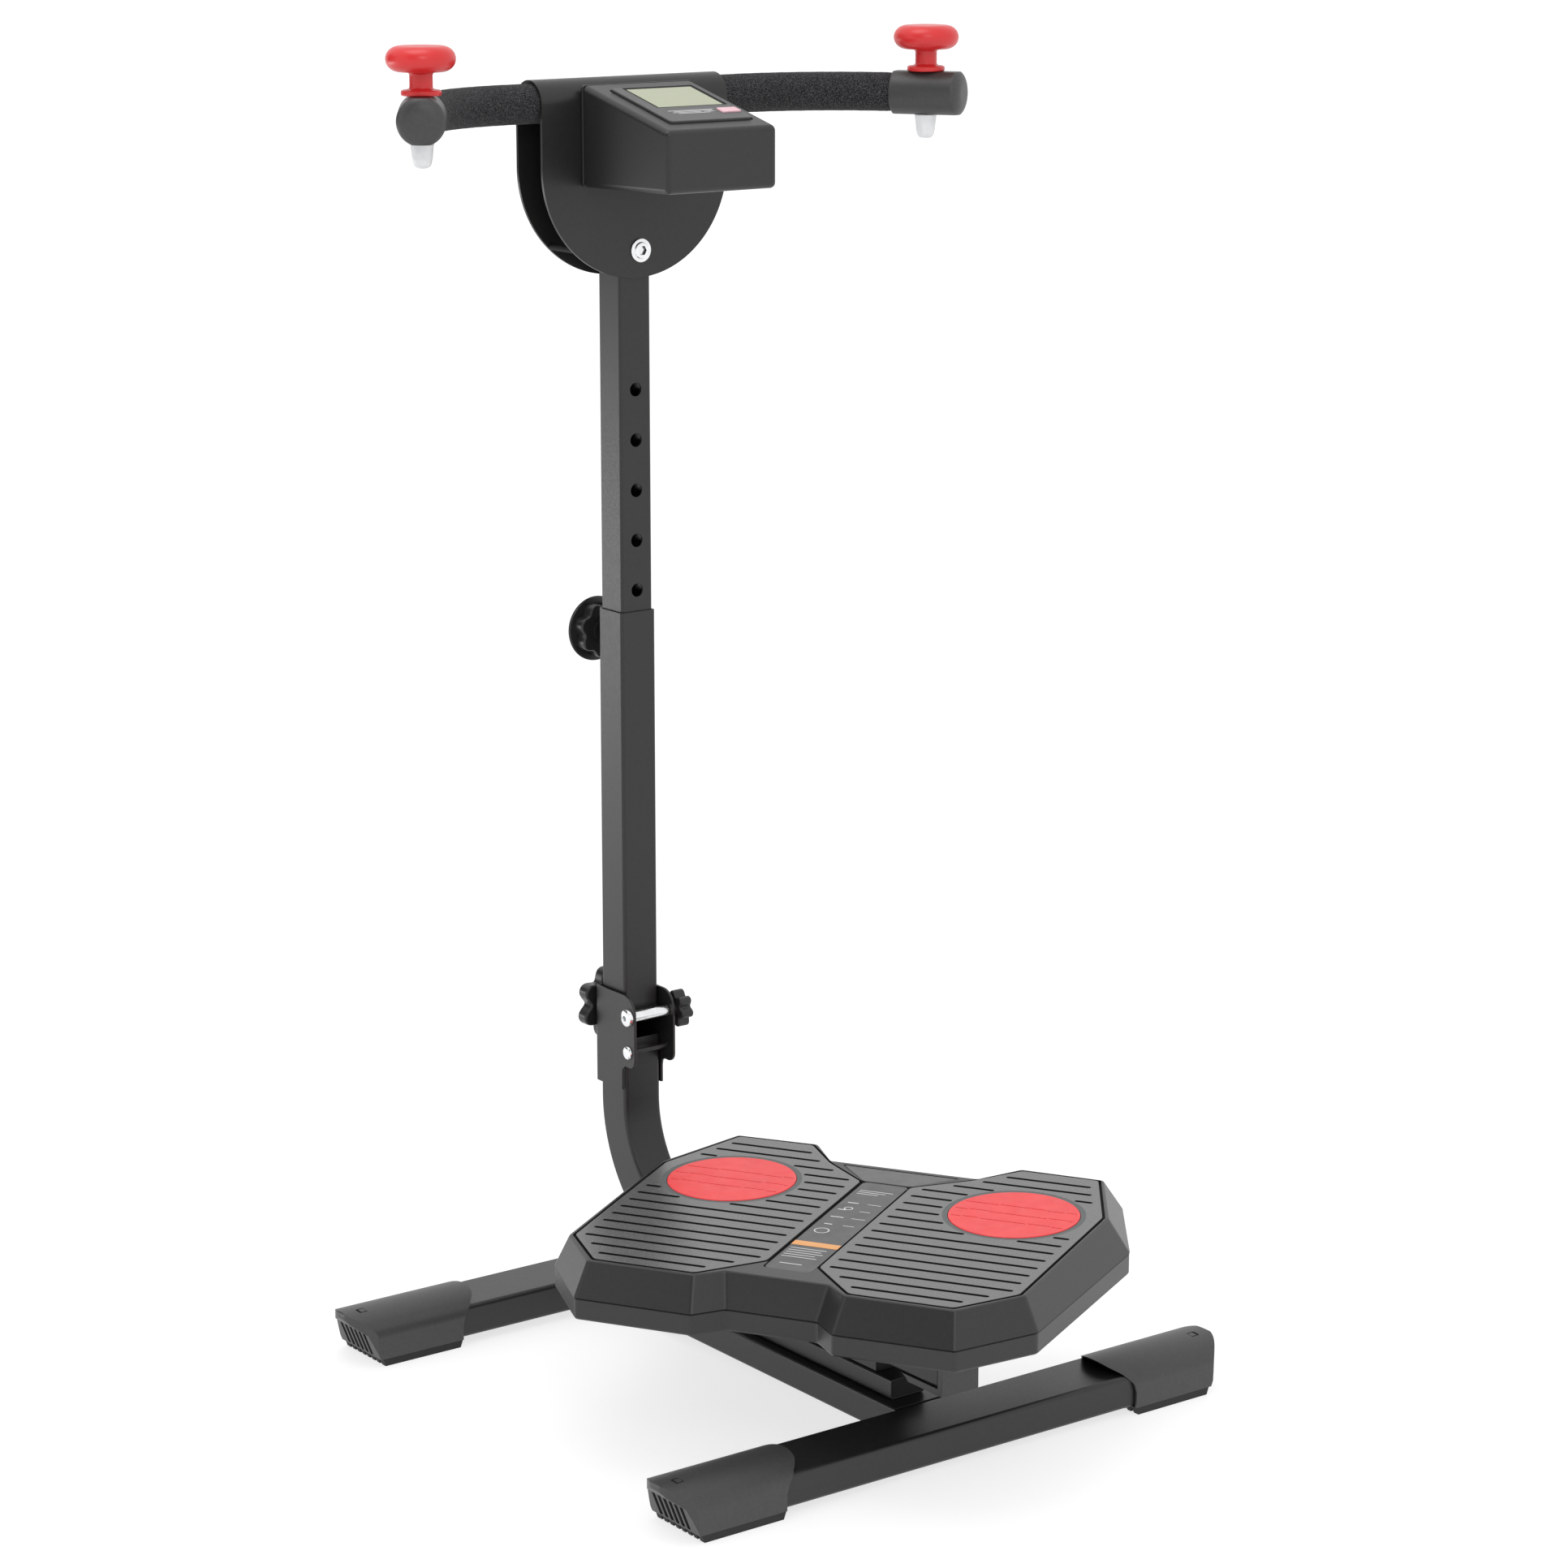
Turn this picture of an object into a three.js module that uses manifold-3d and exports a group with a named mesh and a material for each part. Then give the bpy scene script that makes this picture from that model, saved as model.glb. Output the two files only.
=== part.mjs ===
// Twist stepper: a turning foot platform on a floor frame, with a folding, height-adjustable
// handlebar post. Millimetres, +Z up, the user stands at -Y facing the post at +Y.
import * as THREE from "three";
import { mergeVertices } from "three/addons/utils/BufferGeometryUtils.js";
import Module from "manifold-3d";

const wasm = await Module();
wasm.setup();

// ---- driving dimensions ------------------------------------------------------------------
const GAP = 0.3; // play between two pieces that touch
const ORIGIN_Y = 21; // puts the origin under the middle of the footprint

const POST_Y = 272.8; // centre of post, mast and handlebar
const FRONT_Y = -239; // centre of the front stabiliser
const REAR_Y = 305; // centre of the rear stabiliser
const STAB = { length: 600, depth: 68, height: 33, z: 8, wall: 2 };
const CAP = {
  inner: 210, outer: 307, topIn: 182, topOut: 331, half: 37.5, shoulder: 30, top: 52, bulge: 23,
  browX: 317, browZ: 33,
};
const CAP_WALL = 3.5;
const LOUVRE = { count: 6, pitch: 8.6, width: 5.2, bottom: 9.5, top: 33 };
const FOOT = { inner: 212, outer: 303, flare: 1.5, teeth: 8, groove: 3.6, depth: 4.5 };
const BEAM = { width: 60, height: 30, z: 11, wall: 2 };
const RAIL = { width: 40, height: 20, half: 186, wall: 1.8 };
const ARM = { size: 44, wall: 2, front: -258, bottom: 76, radius: 128, top: 292 };
const POST = { size: 41, wall: 1.75, bottom: 311, top: 731.8 };
const MAST = { size: 36.8, wall: 1.6, bottom: 580, top: 1212, hole: 6.7, pitch: 50, firstHole: 953 };
const PIN_Z = 703; // height of the locking pin
const FOLD = { y: 239.5, z: 319 }; // fold axis, along X
const BAR = { z: 1234.2, r: 12.5, straight: 134, bend: 170, angle: 57, tail: 48 };
const GRIP = { r: 19.2, bore: 13.5, start: 62 };
const END_CAP = { r: 22.8, from: -1, to: 71, knobAt: 31 };
const SADDLE = { half: 109, rOut: 22.6, rIn: 19.6, arcZ: 1172, boltX: 4, boltZ: 1089.6 };
const TIE = { x: 72, z: 1094, r: 3 };
const CONSOLE = { half: 64, front: 107, back: 249.9, bottom: 1155, frontTop: 1216, backTop: 1252 };
const PIVOT_Y = -97; // turning axis of the platform
const TURNTABLE = { plate: 150, thick: 5, ringOut: 58, ringIn: 22, ringHigh: 5.4, shaft: 10, head: 16 };
const SPACER = { half: 18, front: [-160, -40], rear: [40, 150] }; // blocks between rail and arm
const PLATFORM = { yaw: -58.4, top: 198, seam: 165.7, bottom: 144.7, wall: 3.5, ceiling: 192 };
const PAD = { x: 146, y: 55, rx: 63, ry: 67 };
const ROWS = { first: 160, pitch: 21.85, count: 17, width: 5, depth: 1.6 };

// ---- helpers -----------------------------------------------------------------------------
const deg = (a) => (a * Math.PI) / 180;

function solid(geometry) {
  const bare = geometry.clone();
  bare.deleteAttribute("normal");
  bare.deleteAttribute("uv");
  const merged = mergeVertices(bare, 1e-4);
  const vertProperties = new Float32Array(merged.attributes.position.array);
  const triVerts = new Uint32Array(merged.index.array);
  const at = (i) => new THREE.Vector3().fromArray(vertProperties, 3 * i);
  let volume = 0;
  for (let i = 0; i < triVerts.length; i += 3) {
    const [a, b, c] = [at(triVerts[i]), at(triVerts[i + 1]), at(triVerts[i + 2])];
    volume += a.dot(b.cross(c));
  }
  if (volume < 0) {
    for (let i = 0; i < triVerts.length; i += 3) {
      [triVerts[i], triVerts[i + 1]] = [triVerts[i + 1], triVerts[i]];
    }
  }
  return new wasm.Manifold(new wasm.Mesh({ numProp: 3, vertProperties, triVerts }));
}

function geometryOf(manifold) {
  const mesh = manifold.getMesh();
  const geometry = new THREE.BufferGeometry();
  geometry.setAttribute("position", new THREE.BufferAttribute(mesh.vertProperties, 3));
  geometry.setIndex(new THREE.BufferAttribute(mesh.triVerts, 1));
  geometry.computeVertexNormals();
  return geometry;
}

const cut = (body, ...tools) =>
  geometryOf(tools.reduce((left, tool) => left.subtract(solid(tool)), solid(body)));
const join = (body, ...more) =>
  geometryOf(more.reduce((left, next) => left.add(solid(next)), solid(body)));
const common = (a, b) => geometryOf(solid(a).intersect(solid(b)));

const box = (x0, x1, y0, y1, z0, z1) =>
  new THREE.BoxGeometry(x1 - x0, y1 - y0, z1 - z0).translate((x0 + x1) / 2, (y0 + y1) / 2, (z0 + z1) / 2);

function outline(points, holes = []) {
  const shape = new THREE.Shape(points.map(([a, b]) => new THREE.Vector2(a, b)));
  for (const hole of holes) {
    shape.holes.push(new THREE.Path(hole.map(([a, b]) => new THREE.Vector2(a, b))));
  }
  return shape;
}

function prism(axis, points, from, to, holes = []) {
  const options = { depth: to - from, bevelEnabled: false, steps: 1 };
  const geometry = new THREE.ExtrudeGeometry(outline(points, holes), options);
  const basis = new THREE.Matrix4();
  const [x, y, z] = [new THREE.Vector3(1, 0, 0), new THREE.Vector3(0, 1, 0), new THREE.Vector3(0, 0, 1)];
  if (axis === "x") {
    basis.makeBasis(y, z, x).setPosition(from, 0, 0);
  } else if (axis === "y") {
    basis.makeBasis(x, z, y.clone().negate()).setPosition(0, to, 0);
  } else {
    basis.makeBasis(x, y, z).setPosition(0, 0, from);
  }
  return geometry.applyMatrix4(basis);
}

// profile: [radius, distance along the axis] pairs, from the axis and back to it
function turned(axis, profile, at = [0, 0, 0], segments = 28) {
  const points = profile.map(([r, t]) => new THREE.Vector2(r, t));
  const geometry = new THREE.LatheGeometry(points, segments);
  if (axis === "z") geometry.rotateX(Math.PI / 2);
  if (axis === "x") geometry.rotateZ(-Math.PI / 2);
  return geometry.translate(...at);
}

const rod = (axis, r, from, to, at, segments = 20) =>
  turned(axis, [[0, from], [r, from], [r, to], [0, to]], at, segments);

// like rod, but with a hole through it
const sleeve = (axis, r, bore, from, to, at, segments = 24) =>
  turned(axis, [[bore, from], [r, from], [r, to], [bore, to], [bore, from]], at, segments);

function roundedRect(width, height, radius, steps = 2, cx = 0, cy = 0) {
  const points = [];
  const corners = [[1, -1, -90], [1, 1, 0], [-1, 1, 90], [-1, -1, 180]];
  for (const [sx, sy, start] of corners) {
    for (let i = 0; i <= steps; i += 1) {
      const a = deg(start + (90 * i) / steps);
      const x = sx * (width / 2 - radius) + radius * Math.cos(a);
      const y = sy * (height / 2 - radius) + radius * Math.sin(a);
      points.push([cx + x, cy + y]);
    }
  }
  return points;
}

function ring(radius, count, phase = 0, cx = 0, cy = 0, ry = radius) {
  return Array.from({ length: count }, (_, i) => {
    const a = (2 * Math.PI * i) / count + phase;
    return [cx + radius * Math.cos(a), cy + ry * Math.sin(a)];
  });
}

// a lobed hand grip seen along its axis; turn (degrees) is where one lobe points
function starOutline({ lobes, tip, valley, turn }, [cx, cy], perLobe = 6) {
  const count = lobes * perLobe;
  return Array.from({ length: count }, (_, i) => {
    const a = (2 * Math.PI * i) / count;
    const r = (tip + valley) / 2 + ((tip - valley) / 2) * Math.cos(lobes * a);
    return [cx + r * Math.cos(a + deg(turn)), cy + r * Math.sin(a + deg(turn))];
  });
}

const mirrored = (half) => [...half, ...half.map(([x, y]) => [-x, y]).reverse()];

// moves every edge of a closed outline inwards by d (outwards when d is negative)
function inset(points, d) {
  const n = points.length;
  const lines = points.map(([x0, y0], i) => {
    const [x1, y1] = points[(i + 1) % n];
    const length = Math.hypot(x1 - x0, y1 - y0);
    const [ux, uy] = [(x1 - x0) / length, (y1 - y0) / length];
    return { x: x0 - uy * d, y: y0 + ux * d, ux, uy };
  });
  return lines.map((line, i) => {
    const before = lines[(i + n - 1) % n];
    const cross = before.ux * line.uy - before.uy * line.ux;
    const t = ((line.x - before.x) * line.uy - (line.y - before.y) * line.ux) / cross;
    return [before.x + before.ux * t, before.y + before.uy * t];
  });
}

// skins a stack of outlines with the same number of points, closed at both ends
function loft(layers) {
  const n = layers[0].points.length;
  const vertices = [];
  const faces = [];
  for (const { points, z } of layers) {
    for (const [x, y] of points) vertices.push(x, y, z);
  }
  for (let k = 0; k + 1 < layers.length; k += 1) {
    for (let i = 0; i < n; i += 1) {
      const j = (i + 1) % n;
      const [a, b, c, d] = [k * n + i, k * n + j, (k + 1) * n + i, (k + 1) * n + j];
      faces.push(a, b, d, a, d, c);
    }
  }
  for (const [k, flip] of [[0, true], [layers.length - 1, false]]) {
    const flat = layers[k].points.map(([x, y]) => new THREE.Vector2(x, y));
    for (const [a, b, c] of THREE.ShapeUtils.triangulateShape(flat, [])) {
      faces.push(...(flip ? [a, c, b] : [a, b, c]).map((i) => k * n + i));
    }
  }
  const geometry = new THREE.BufferGeometry();
  geometry.setAttribute("position", new THREE.Float32BufferAttribute(vertices, 3));
  geometry.setIndex(faces);
  return geometry;
}

// a path of straights and bends in one plane, walked by distance
class BentPath extends THREE.Curve {
  constructor(start, heading, inward, parts) {
    super();
    this.start = start;
    this.heading = heading;
    this.inward = inward;
    this.parts = parts;
    this.length = parts.reduce((sum, part) => sum + this.run(part), 0);
  }

  run(part) {
    return part.straight ?? part.radius * deg(part.angle);
  }

  getPoint(t, target = new THREE.Vector3()) {
    let left = t * this.length;
    let turn = 0;
    const at = this.start.clone();
    const along = (a) =>
      this.heading.clone().multiplyScalar(Math.cos(a)).addScaledVector(this.inward, Math.sin(a));
    for (const part of this.parts) {
      const step = Math.min(left, this.run(part));
      if (part.straight !== undefined) {
        at.addScaledVector(along(turn), step);
      } else {
        const next = turn + step / part.radius;
        at.addScaledVector(along(turn - Math.PI / 2), -part.radius);
        at.addScaledVector(along(next - Math.PI / 2), part.radius);
        turn = next;
      }
      left -= step;
    }
    return target.copy(at);
  }
}

const sweep = (points, path, steps) =>
  new THREE.ExtrudeGeometry(outline(points), { extrudePath: path, steps, bevelEnabled: false });

// ---- materials ---------------------------------------------------------------------------
const paint = { color: 0x2b2b2b, roughness: 0.45, metalness: 0.3 };
const plastic = { color: 0x3a3a3b, roughness: 0.55, metalness: 0 };
const rubber = { color: 0x1c1c1c, roughness: 0.8, metalness: 0 };
const shellGrey = { color: 0x3e3e3d, roughness: 0.6, metalness: 0 };
const matGrey = { color: 0x6e7070, roughness: 0.75, metalness: 0 };
const zinc = { color: 0xd8d8d8, roughness: 0.25, metalness: 0.9 };
const steel = { color: 0x8d9093, roughness: 0.35, metalness: 0.9 };
const foam = { color: 0x333234, roughness: 0.95, metalness: 0 };
const red = { color: 0xe8474b, roughness: 0.4, metalness: 0 };
const clear = { color: 0xeeeeee, roughness: 0.3, metalness: 0 };
const screen = { color: 0xbcc1a3, roughness: 0.2, metalness: 0 };
const pink = { color: 0xddb5bd, roughness: 0.5, metalness: 0 };
const darkLabel = { color: 0x57565a, roughness: 0.5, metalness: 0 };
const paleLabel = { color: 0xa8a8a8, roughness: 0.45, metalness: 0.1 };

const machine = new THREE.Group();
machine.position.y = ORIGIN_Y;

function place(parent, name, geometry, look) {
  const mesh = new THREE.Mesh(geometryOf(solid(geometry)), new THREE.MeshStandardMaterial(look));
  mesh.name = name;
  parent.add(mesh);
}

// ---- floor frame -------------------------------------------------------------------------
function stabiliser(y) {
  const z = STAB.z + STAB.height / 2;
  const outer = roundedRect(STAB.depth, STAB.height, 9, 3, y, z);
  const inner = roundedRect(STAB.depth - 2 * STAB.wall, STAB.height - 2 * STAB.wall, 7, 3, y, z);
  return prism("x", outer, -STAB.length / 2, STAB.length / 2, [inner]);
}
place(machine, "front_stabiliser", stabiliser(FRONT_Y), paint);
place(machine, "rear_stabiliser", stabiliser(REAR_Y), paint);

const beamFront = FRONT_Y + STAB.depth / 2 + GAP;
const beamRear = REAR_Y - STAB.depth / 2 - GAP;
const beamZ = BEAM.z + BEAM.height / 2;
place(
  machine,
  "base_beam",
  prism("y", roundedRect(BEAM.width, BEAM.height, 3, 2, 0, beamZ), beamFront, beamRear, [
    roundedRect(BEAM.width - 2 * BEAM.wall, BEAM.height - 2 * BEAM.wall, 1.5, 2, 0, beamZ),
  ]),
  paint,
);
const railBottom = BEAM.z + BEAM.height + GAP;
const railTop = railBottom + RAIL.height;
const railZ = (railBottom + railTop) / 2;
place(
  machine,
  "base_rail",
  prism("y", roundedRect(RAIL.width, RAIL.height, 2.5, 2, 0, railZ), -RAIL.half, RAIL.half, [
    roundedRect(RAIL.width - 2 * RAIL.wall, RAIL.height - 2 * RAIL.wall, 1, 2, 0, railZ),
  ]),
  paint,
);
for (const end of ["front", "rear"]) {
  const [from, to] = SPACER[end];
  const block = box(-SPACER.half, SPACER.half, from, to, railTop + GAP, ARM.bottom - GAP);
  place(machine, `arm_spacer_${end}`, block, paint);
}

// the arm: a square tube that lies under the platform and turns up into the post's foot
const armZ = ARM.bottom + ARM.size / 2;
const armStraight = POST_Y - ARM.radius - ARM.front;
const armParts = [
  { straight: armStraight },
  { radius: ARM.radius, angle: 90 },
  { straight: ARM.top - armZ - ARM.radius },
];
const armPath = new BentPath(
  new THREE.Vector3(0, ARM.front, armZ),
  new THREE.Vector3(0, 1, 0),
  new THREE.Vector3(0, 0, 1),
  armParts,
);
const armCore = ARM.size - 2 * ARM.wall;
place(
  machine,
  "arm_tube",
  cut(
    sweep(roundedRect(ARM.size, ARM.size, 4, 2), armPath, 27),
    sweep(roundedRect(armCore, armCore, 2, 2), armPath, 27),
  ),
  paint,
);
place(
  machine,
  "arm_end_cap",
  prism(
    "x",
    [
      [ARM.front - 7, 69], [-213.5, 69], [-210.5, 72.5], [-206, 74.8], [-200, ARM.bottom - GAP],
      [ARM.front - GAP, ARM.bottom - GAP], [ARM.front - GAP, 119.5], [ARM.front - 5, 119.5],
      [ARM.front - 7, 117.5],
    ],
    -ARM.size / 2,
    ARM.size / 2,
  ),
  plastic,
);

// feet: a hollow arched cap with a louvred end over a ribbed rubber pad
function archProfile(half, shoulder, top, steps) {
  return Array.from({ length: steps + 1 }, (_, i) => {
    const a = (Math.PI * i) / steps;
    return [half * Math.cos(a), shoulder + (top - shoulder) * Math.sin(a)];
  });
}

// plan view of the cap: straight sides and an end that bulges outwards
function capPlan(half, tip) {
  const points = [[160, half], [160, -half]];
  for (let i = 0; i <= 10; i += 1) {
    const t = i / 5 - 1;
    points.push([tip - CAP.bulge * t * t, half * t]);
  }
  return points;
}

function footCap(side, y) {
  const low = STAB.z - GAP;
  const arch = archProfile(CAP.half, CAP.shoulder, CAP.top, 14);
  const skin = prism("x", [[-CAP.half, low], [CAP.half, low], ...arch], 170, 345);
  const profile = [
    [CAP.inner, low], [CAP.outer, low], [CAP.browX, CAP.browZ], [CAP.topOut - 2, CAP.top - 8],
    [CAP.topOut, CAP.top - 4], [CAP.topOut - 3, CAP.top + 1],
    [CAP.topIn, CAP.top + 1], [CAP.topIn + 8, CAP.top - 5], [CAP.inner + 1, CAP.shoulder],
  ];
  const plan = prism("z", capPlan(CAP.half + 1, CAP.topOut), 0, 70);
  const body = common(common(skin, prism("y", profile, -50, 50)), plan);
  const half = CAP.half - 2.3;
  const vault = archProfile(half, CAP.shoulder + 0.5, CAP.top - 2.4, 14);
  const tunnel = prism("x", [[-half, low - 1], [half, low - 1], ...vault], 160, 345);
  const inside = [
    [160, 0], [CAP.outer - CAP_WALL - 1, 0], [CAP.browX - CAP_WALL - 0.5, CAP.browZ],
    [CAP.topOut - CAP_WALL - 2, CAP.top - 6], [CAP.topOut, 60], [160, 60],
  ];
  const planInside = prism("z", capPlan(CAP.half, CAP.topOut - CAP_WALL), 0, 70);
  const hollow = common(common(tunnel, prism("y", inside, -50, 50)), planInside);
  const slots = [];
  for (let i = 0; i < LOUVRE.count; i += 1) {
    const middle = (i - (LOUVRE.count - 1) / 2) * LOUVRE.pitch;
    const [near, far] = [middle - LOUVRE.width / 2, middle + LOUVRE.width / 2];
    slots.push(box(CAP.outer - 15, 350, near, far, LOUVRE.bottom, LOUVRE.top));
  }
  return cut(body, hollow, ...slots).scale(side, 1, 1).translate(0, y, 0);
}

function footPad(side, y) {
  const top = STAB.z - 2 * GAP;
  const section = [
    [FOOT.inner, 0], [FOOT.outer, 0], [FOOT.outer + FOOT.flare, top], [FOOT.inner - FOOT.flare, top],
  ];
  const half = CAP.half - 0.5;
  const pitch = (2 * half) / FOOT.teeth;
  const grooves = [];
  for (let i = 1; i < FOOT.teeth; i += 1) {
    const middle = i * pitch - half;
    const [near, far] = [middle - FOOT.groove / 2, middle + FOOT.groove / 2];
    grooves.push(box(FOOT.inner - 10, FOOT.outer + 10, near, far, -1, FOOT.depth));
  }
  return cut(prism("y", section, -half, half), ...grooves).scale(side, 1, 1).translate(0, y, 0);
}

for (const [end, y] of [["front", FRONT_Y], ["rear", REAR_Y]]) {
  for (const [hand, side] of [["left", -1], ["right", 1]]) {
    place(machine, `foot_cap_${end}_${hand}`, footCap(side, y), plastic);
    place(machine, `foot_pad_${end}_${hand}`, footPad(side, y), rubber);
  }
}

// ---- fold bracket and its pins -----------------------------------------------------------
const BRACKET_IN = ARM.size / 2 + 0.4;
const BRACKET_OUT = BRACKET_IN + 3;
const bracketRear = POST_Y + ARM.size / 2 + 0.5;
const cheek = [
  [bracketRear + 3, 240], [bracketRear + 3, 341], [250, 341], [239, 337.5], [232, 330.5],
  [229, 321], [229, 276], [231.5, 269.5], [237, 266.8], [246, 266], [250, 262.5], [251, 258], [251, 240],
];
place(
  machine,
  "fold_bracket",
  cut(
    prism("x", cheek.slice().reverse(), -BRACKET_OUT, BRACKET_OUT),
    box(-BRACKET_IN, BRACKET_IN, 200, bracketRear, 230, 350),
    rod("x", 4.0, -40, 40, [0, FOLD.y, FOLD.z], 16),
    rod("x", 2.8, -40, 40, [0, 240, 282], 12),
    rod("y", 4.6, 280, 310, [0, 0, 316], 16),
  ),
  paint,
);
const headFrom = -BRACKET_OUT - GAP;
place(
  machine,
  "pivot_bolt",
  cut(
    turned(
      "x",
      [[0, headFrom - 4.5], [8, headFrom - 4.5], [9.3, headFrom - 3], [9.3, headFrom], [3.7, headFrom],
        [3.7, 36], [0, 36]],
      [0, FOLD.y, FOLD.z],
      20,
    ),
    prism("x", ring(3, 6, 0, FOLD.y, FOLD.z), headFrom - 6, headFrom - 2),
  ),
  zinc,
);
place(
  machine,
  "stop_pin",
  turned(
    "x",
    [[0, headFrom - 3], [5.5, headFrom - 3], [7, headFrom - 1.5], [7, headFrom], [2.5, headFrom],
      [2.5, BRACKET_OUT + 2], [0, BRACKET_OUT + 2]],
    [0, 240, 282],
    20,
  ),
  zinc,
);

// ---- turntable under the platform ----------------------------------------------------------
const plateZ = ARM.bottom + ARM.size + GAP;
const turntablePlan = roundedRect(TURNTABLE.plate, TURNTABLE.plate, 8, 2, 0, PIVOT_Y);
const pivotAt = [0, PIVOT_Y, 0];
place(
  machine,
  "turntable_base",
  prism("z", turntablePlan, plateZ, plateZ + TURNTABLE.thick),
  paint,
);
const bearingZ = plateZ + TURNTABLE.thick + GAP;
place(
  machine,
  "turntable_bearing",
  sleeve("z", TURNTABLE.ringOut, TURNTABLE.ringIn, bearingZ, bearingZ + TURNTABLE.ringHigh, pivotAt, 30),
  steel,
);
const spinZ = bearingZ + TURNTABLE.ringHigh + GAP;
place(
  machine,
  "pivot_shaft",
  turned(
    "z",
    [
      [0, bearingZ], [TURNTABLE.shaft, bearingZ], [TURNTABLE.shaft, spinZ + 6], [TURNTABLE.head, spinZ + 6],
      [TURNTABLE.head, spinZ + 9.5], [TURNTABLE.head - 3, spinZ + 11], [0, spinZ + 11],
    ],
    pivotAt,
    20,
  ),
  steel,
);

// ---- platform ------------------------------------------------------------------------------
const rim = mirrored([
  [51, -192], [74, -213], [181, -213], [227, -152], [233, 81], [194, 188], [108, 190], [77, 146],
]);
const seam = mirrored([
  [45, -206], [69, -231], [187, -230], [241, -157], [255, 79], [209, 203], [101, 205], [71, 163],
]);
const matOutline = [
  [26.2, -151], [76, -206.5], [177, -206.5], [221, -151], [227, 79], [190, 183], [111, 184], [75, 138],
  [26.2, 95],
];
const flip = (points) => points.map(([x, y]) => [-x, y]).reverse();
const channel = [[24.2, -168], [24.2, 97], [62, 139], [-62, 139], [-24.2, 97], [-24.2, -168]];

const platform = new THREE.Group();
platform.position.y = PIVOT_Y;
platform.rotation.z = deg(PLATFORM.yaw);
machine.add(platform);

place(
  platform,
  "turntable_top",
  turned("z", [
    [TURNTABLE.shaft + GAP, spinZ], [74, spinZ], [74, spinZ + 5], [66, spinZ + 5.5],
    [66, PLATFORM.bottom - GAP], [46, PLATFORM.bottom - GAP], [46, spinZ + 5.5],
    [TURNTABLE.shaft + GAP, spinZ + 5.5], [TURNTABLE.shaft + GAP, spinZ],
  ], [0, 0, 0], 28),
  paint,
);
const trayTop = PLATFORM.seam - GAP;
const trayOut = inset(seam, 0.5);
const trayIn = inset(seam, 0.5 + PLATFORM.wall);
place(
  platform,
  "platform_tray",
  cut(
    loft([{ points: trayOut, z: PLATFORM.bottom }, { points: trayOut, z: trayTop }]),
    loft([{ points: trayIn, z: PLATFORM.bottom + 3 }, { points: trayIn, z: trayTop + 5 }]),
    rod("z", 30, PLATFORM.bottom - 5, PLATFORM.bottom + 8, [0, 0, 0], 32),
  ),
  shellGrey,
);
const pocketFloor = PLATFORM.top - 3;
place(
  platform,
  "platform_shell",
  cut(
    loft([{ points: seam, z: PLATFORM.seam }, { points: rim, z: PLATFORM.top }]),
    loft([
      { points: inset(seam, PLATFORM.wall + 1), z: PLATFORM.seam - 1 },
      { points: inset(rim, PLATFORM.wall + 1), z: PLATFORM.ceiling },
    ]),
    prism("z", inset(matOutline, -1.2), pocketFloor, PLATFORM.top + 5),
    prism("z", inset(flip(matOutline), -1.2), pocketFloor, PLATFORM.top + 5),
    prism("z", channel, PLATFORM.top - 2.2, PLATFORM.top + 5),
  ),
  shellGrey,
);

// one groove per row, broken where it would meet the smooth edge round the massage pad
function grooveSpans(y) {
  const edge = inset(matOutline, 8);
  const hits = [];
  edge.forEach(([x0, y0], i) => {
    const [x1, y1] = edge[(i + 1) % edge.length];
    if (y0 > y !== y1 > y) hits.push(x0 + ((x1 - x0) * (y - y0)) / (y1 - y0));
  });
  hits.sort((a, b) => a - b);
  const [from, to] = [hits[0], hits[hits.length - 1]];
  const rise = (y - PAD.y) / (PAD.ry + 8);
  if (Math.abs(rise) >= 1) return [[from, to]];
  const half = (PAD.rx + 8) * Math.sqrt(1 - rise * rise);
  return [[from, PAD.x - half], [PAD.x + half, to]].filter(([a, b]) => b - a > 4);
}

const matTop = PLATFORM.top + 0.4;
function mat(side) {
  const grooves = [];
  for (let i = 0; i < ROWS.count; i += 1) {
    const y = ROWS.first - ROWS.pitch * i;
    for (const [from, to] of grooveSpans(y)) {
      const [low, high] = [y - ROWS.width / 2, y + ROWS.width / 2];
      grooves.push(box(from, to, low, high, matTop - ROWS.depth, matTop + 2));
    }
  }
  const well = ring(PAD.rx + 0.4, 36, 0, PAD.x, PAD.y, PAD.ry + 0.4);
  const body = cut(
    prism("z", matOutline, pocketFloor + GAP, matTop),
    ...grooves,
    prism("z", well, matTop - 1.4, matTop + 2),
  );
  return body.scale(side, 1, 1);
}

for (const [hand, side] of [["left", -1], ["right", 1]]) {
  place(platform, `mat_${hand}`, mat(side), matGrey);
  const disc = ring(PAD.rx, 36, 0, side * PAD.x, PAD.y, PAD.ry);
  place(platform, `massage_pad_${hand}`, prism("z", disc, matTop - 1.1, matTop + 0.6), red);
}
const stripZ = PLATFORM.top - 2.2 + GAP;
place(
  platform,
  "label_panel",
  prism("z", [[23.4, -167], [23.4, 98], [-23.4, 98], [-23.4, -167]], stripZ, stripZ + 1.2),
  darkLabel,
);
place(
  platform,
  "back_plate",
  prism("z", [[25, 99.5], [59.5, 138], [-59.5, 138], [-25, 99.5]], stripZ, stripZ + 1.6),
  paleLabel,
);

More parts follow.
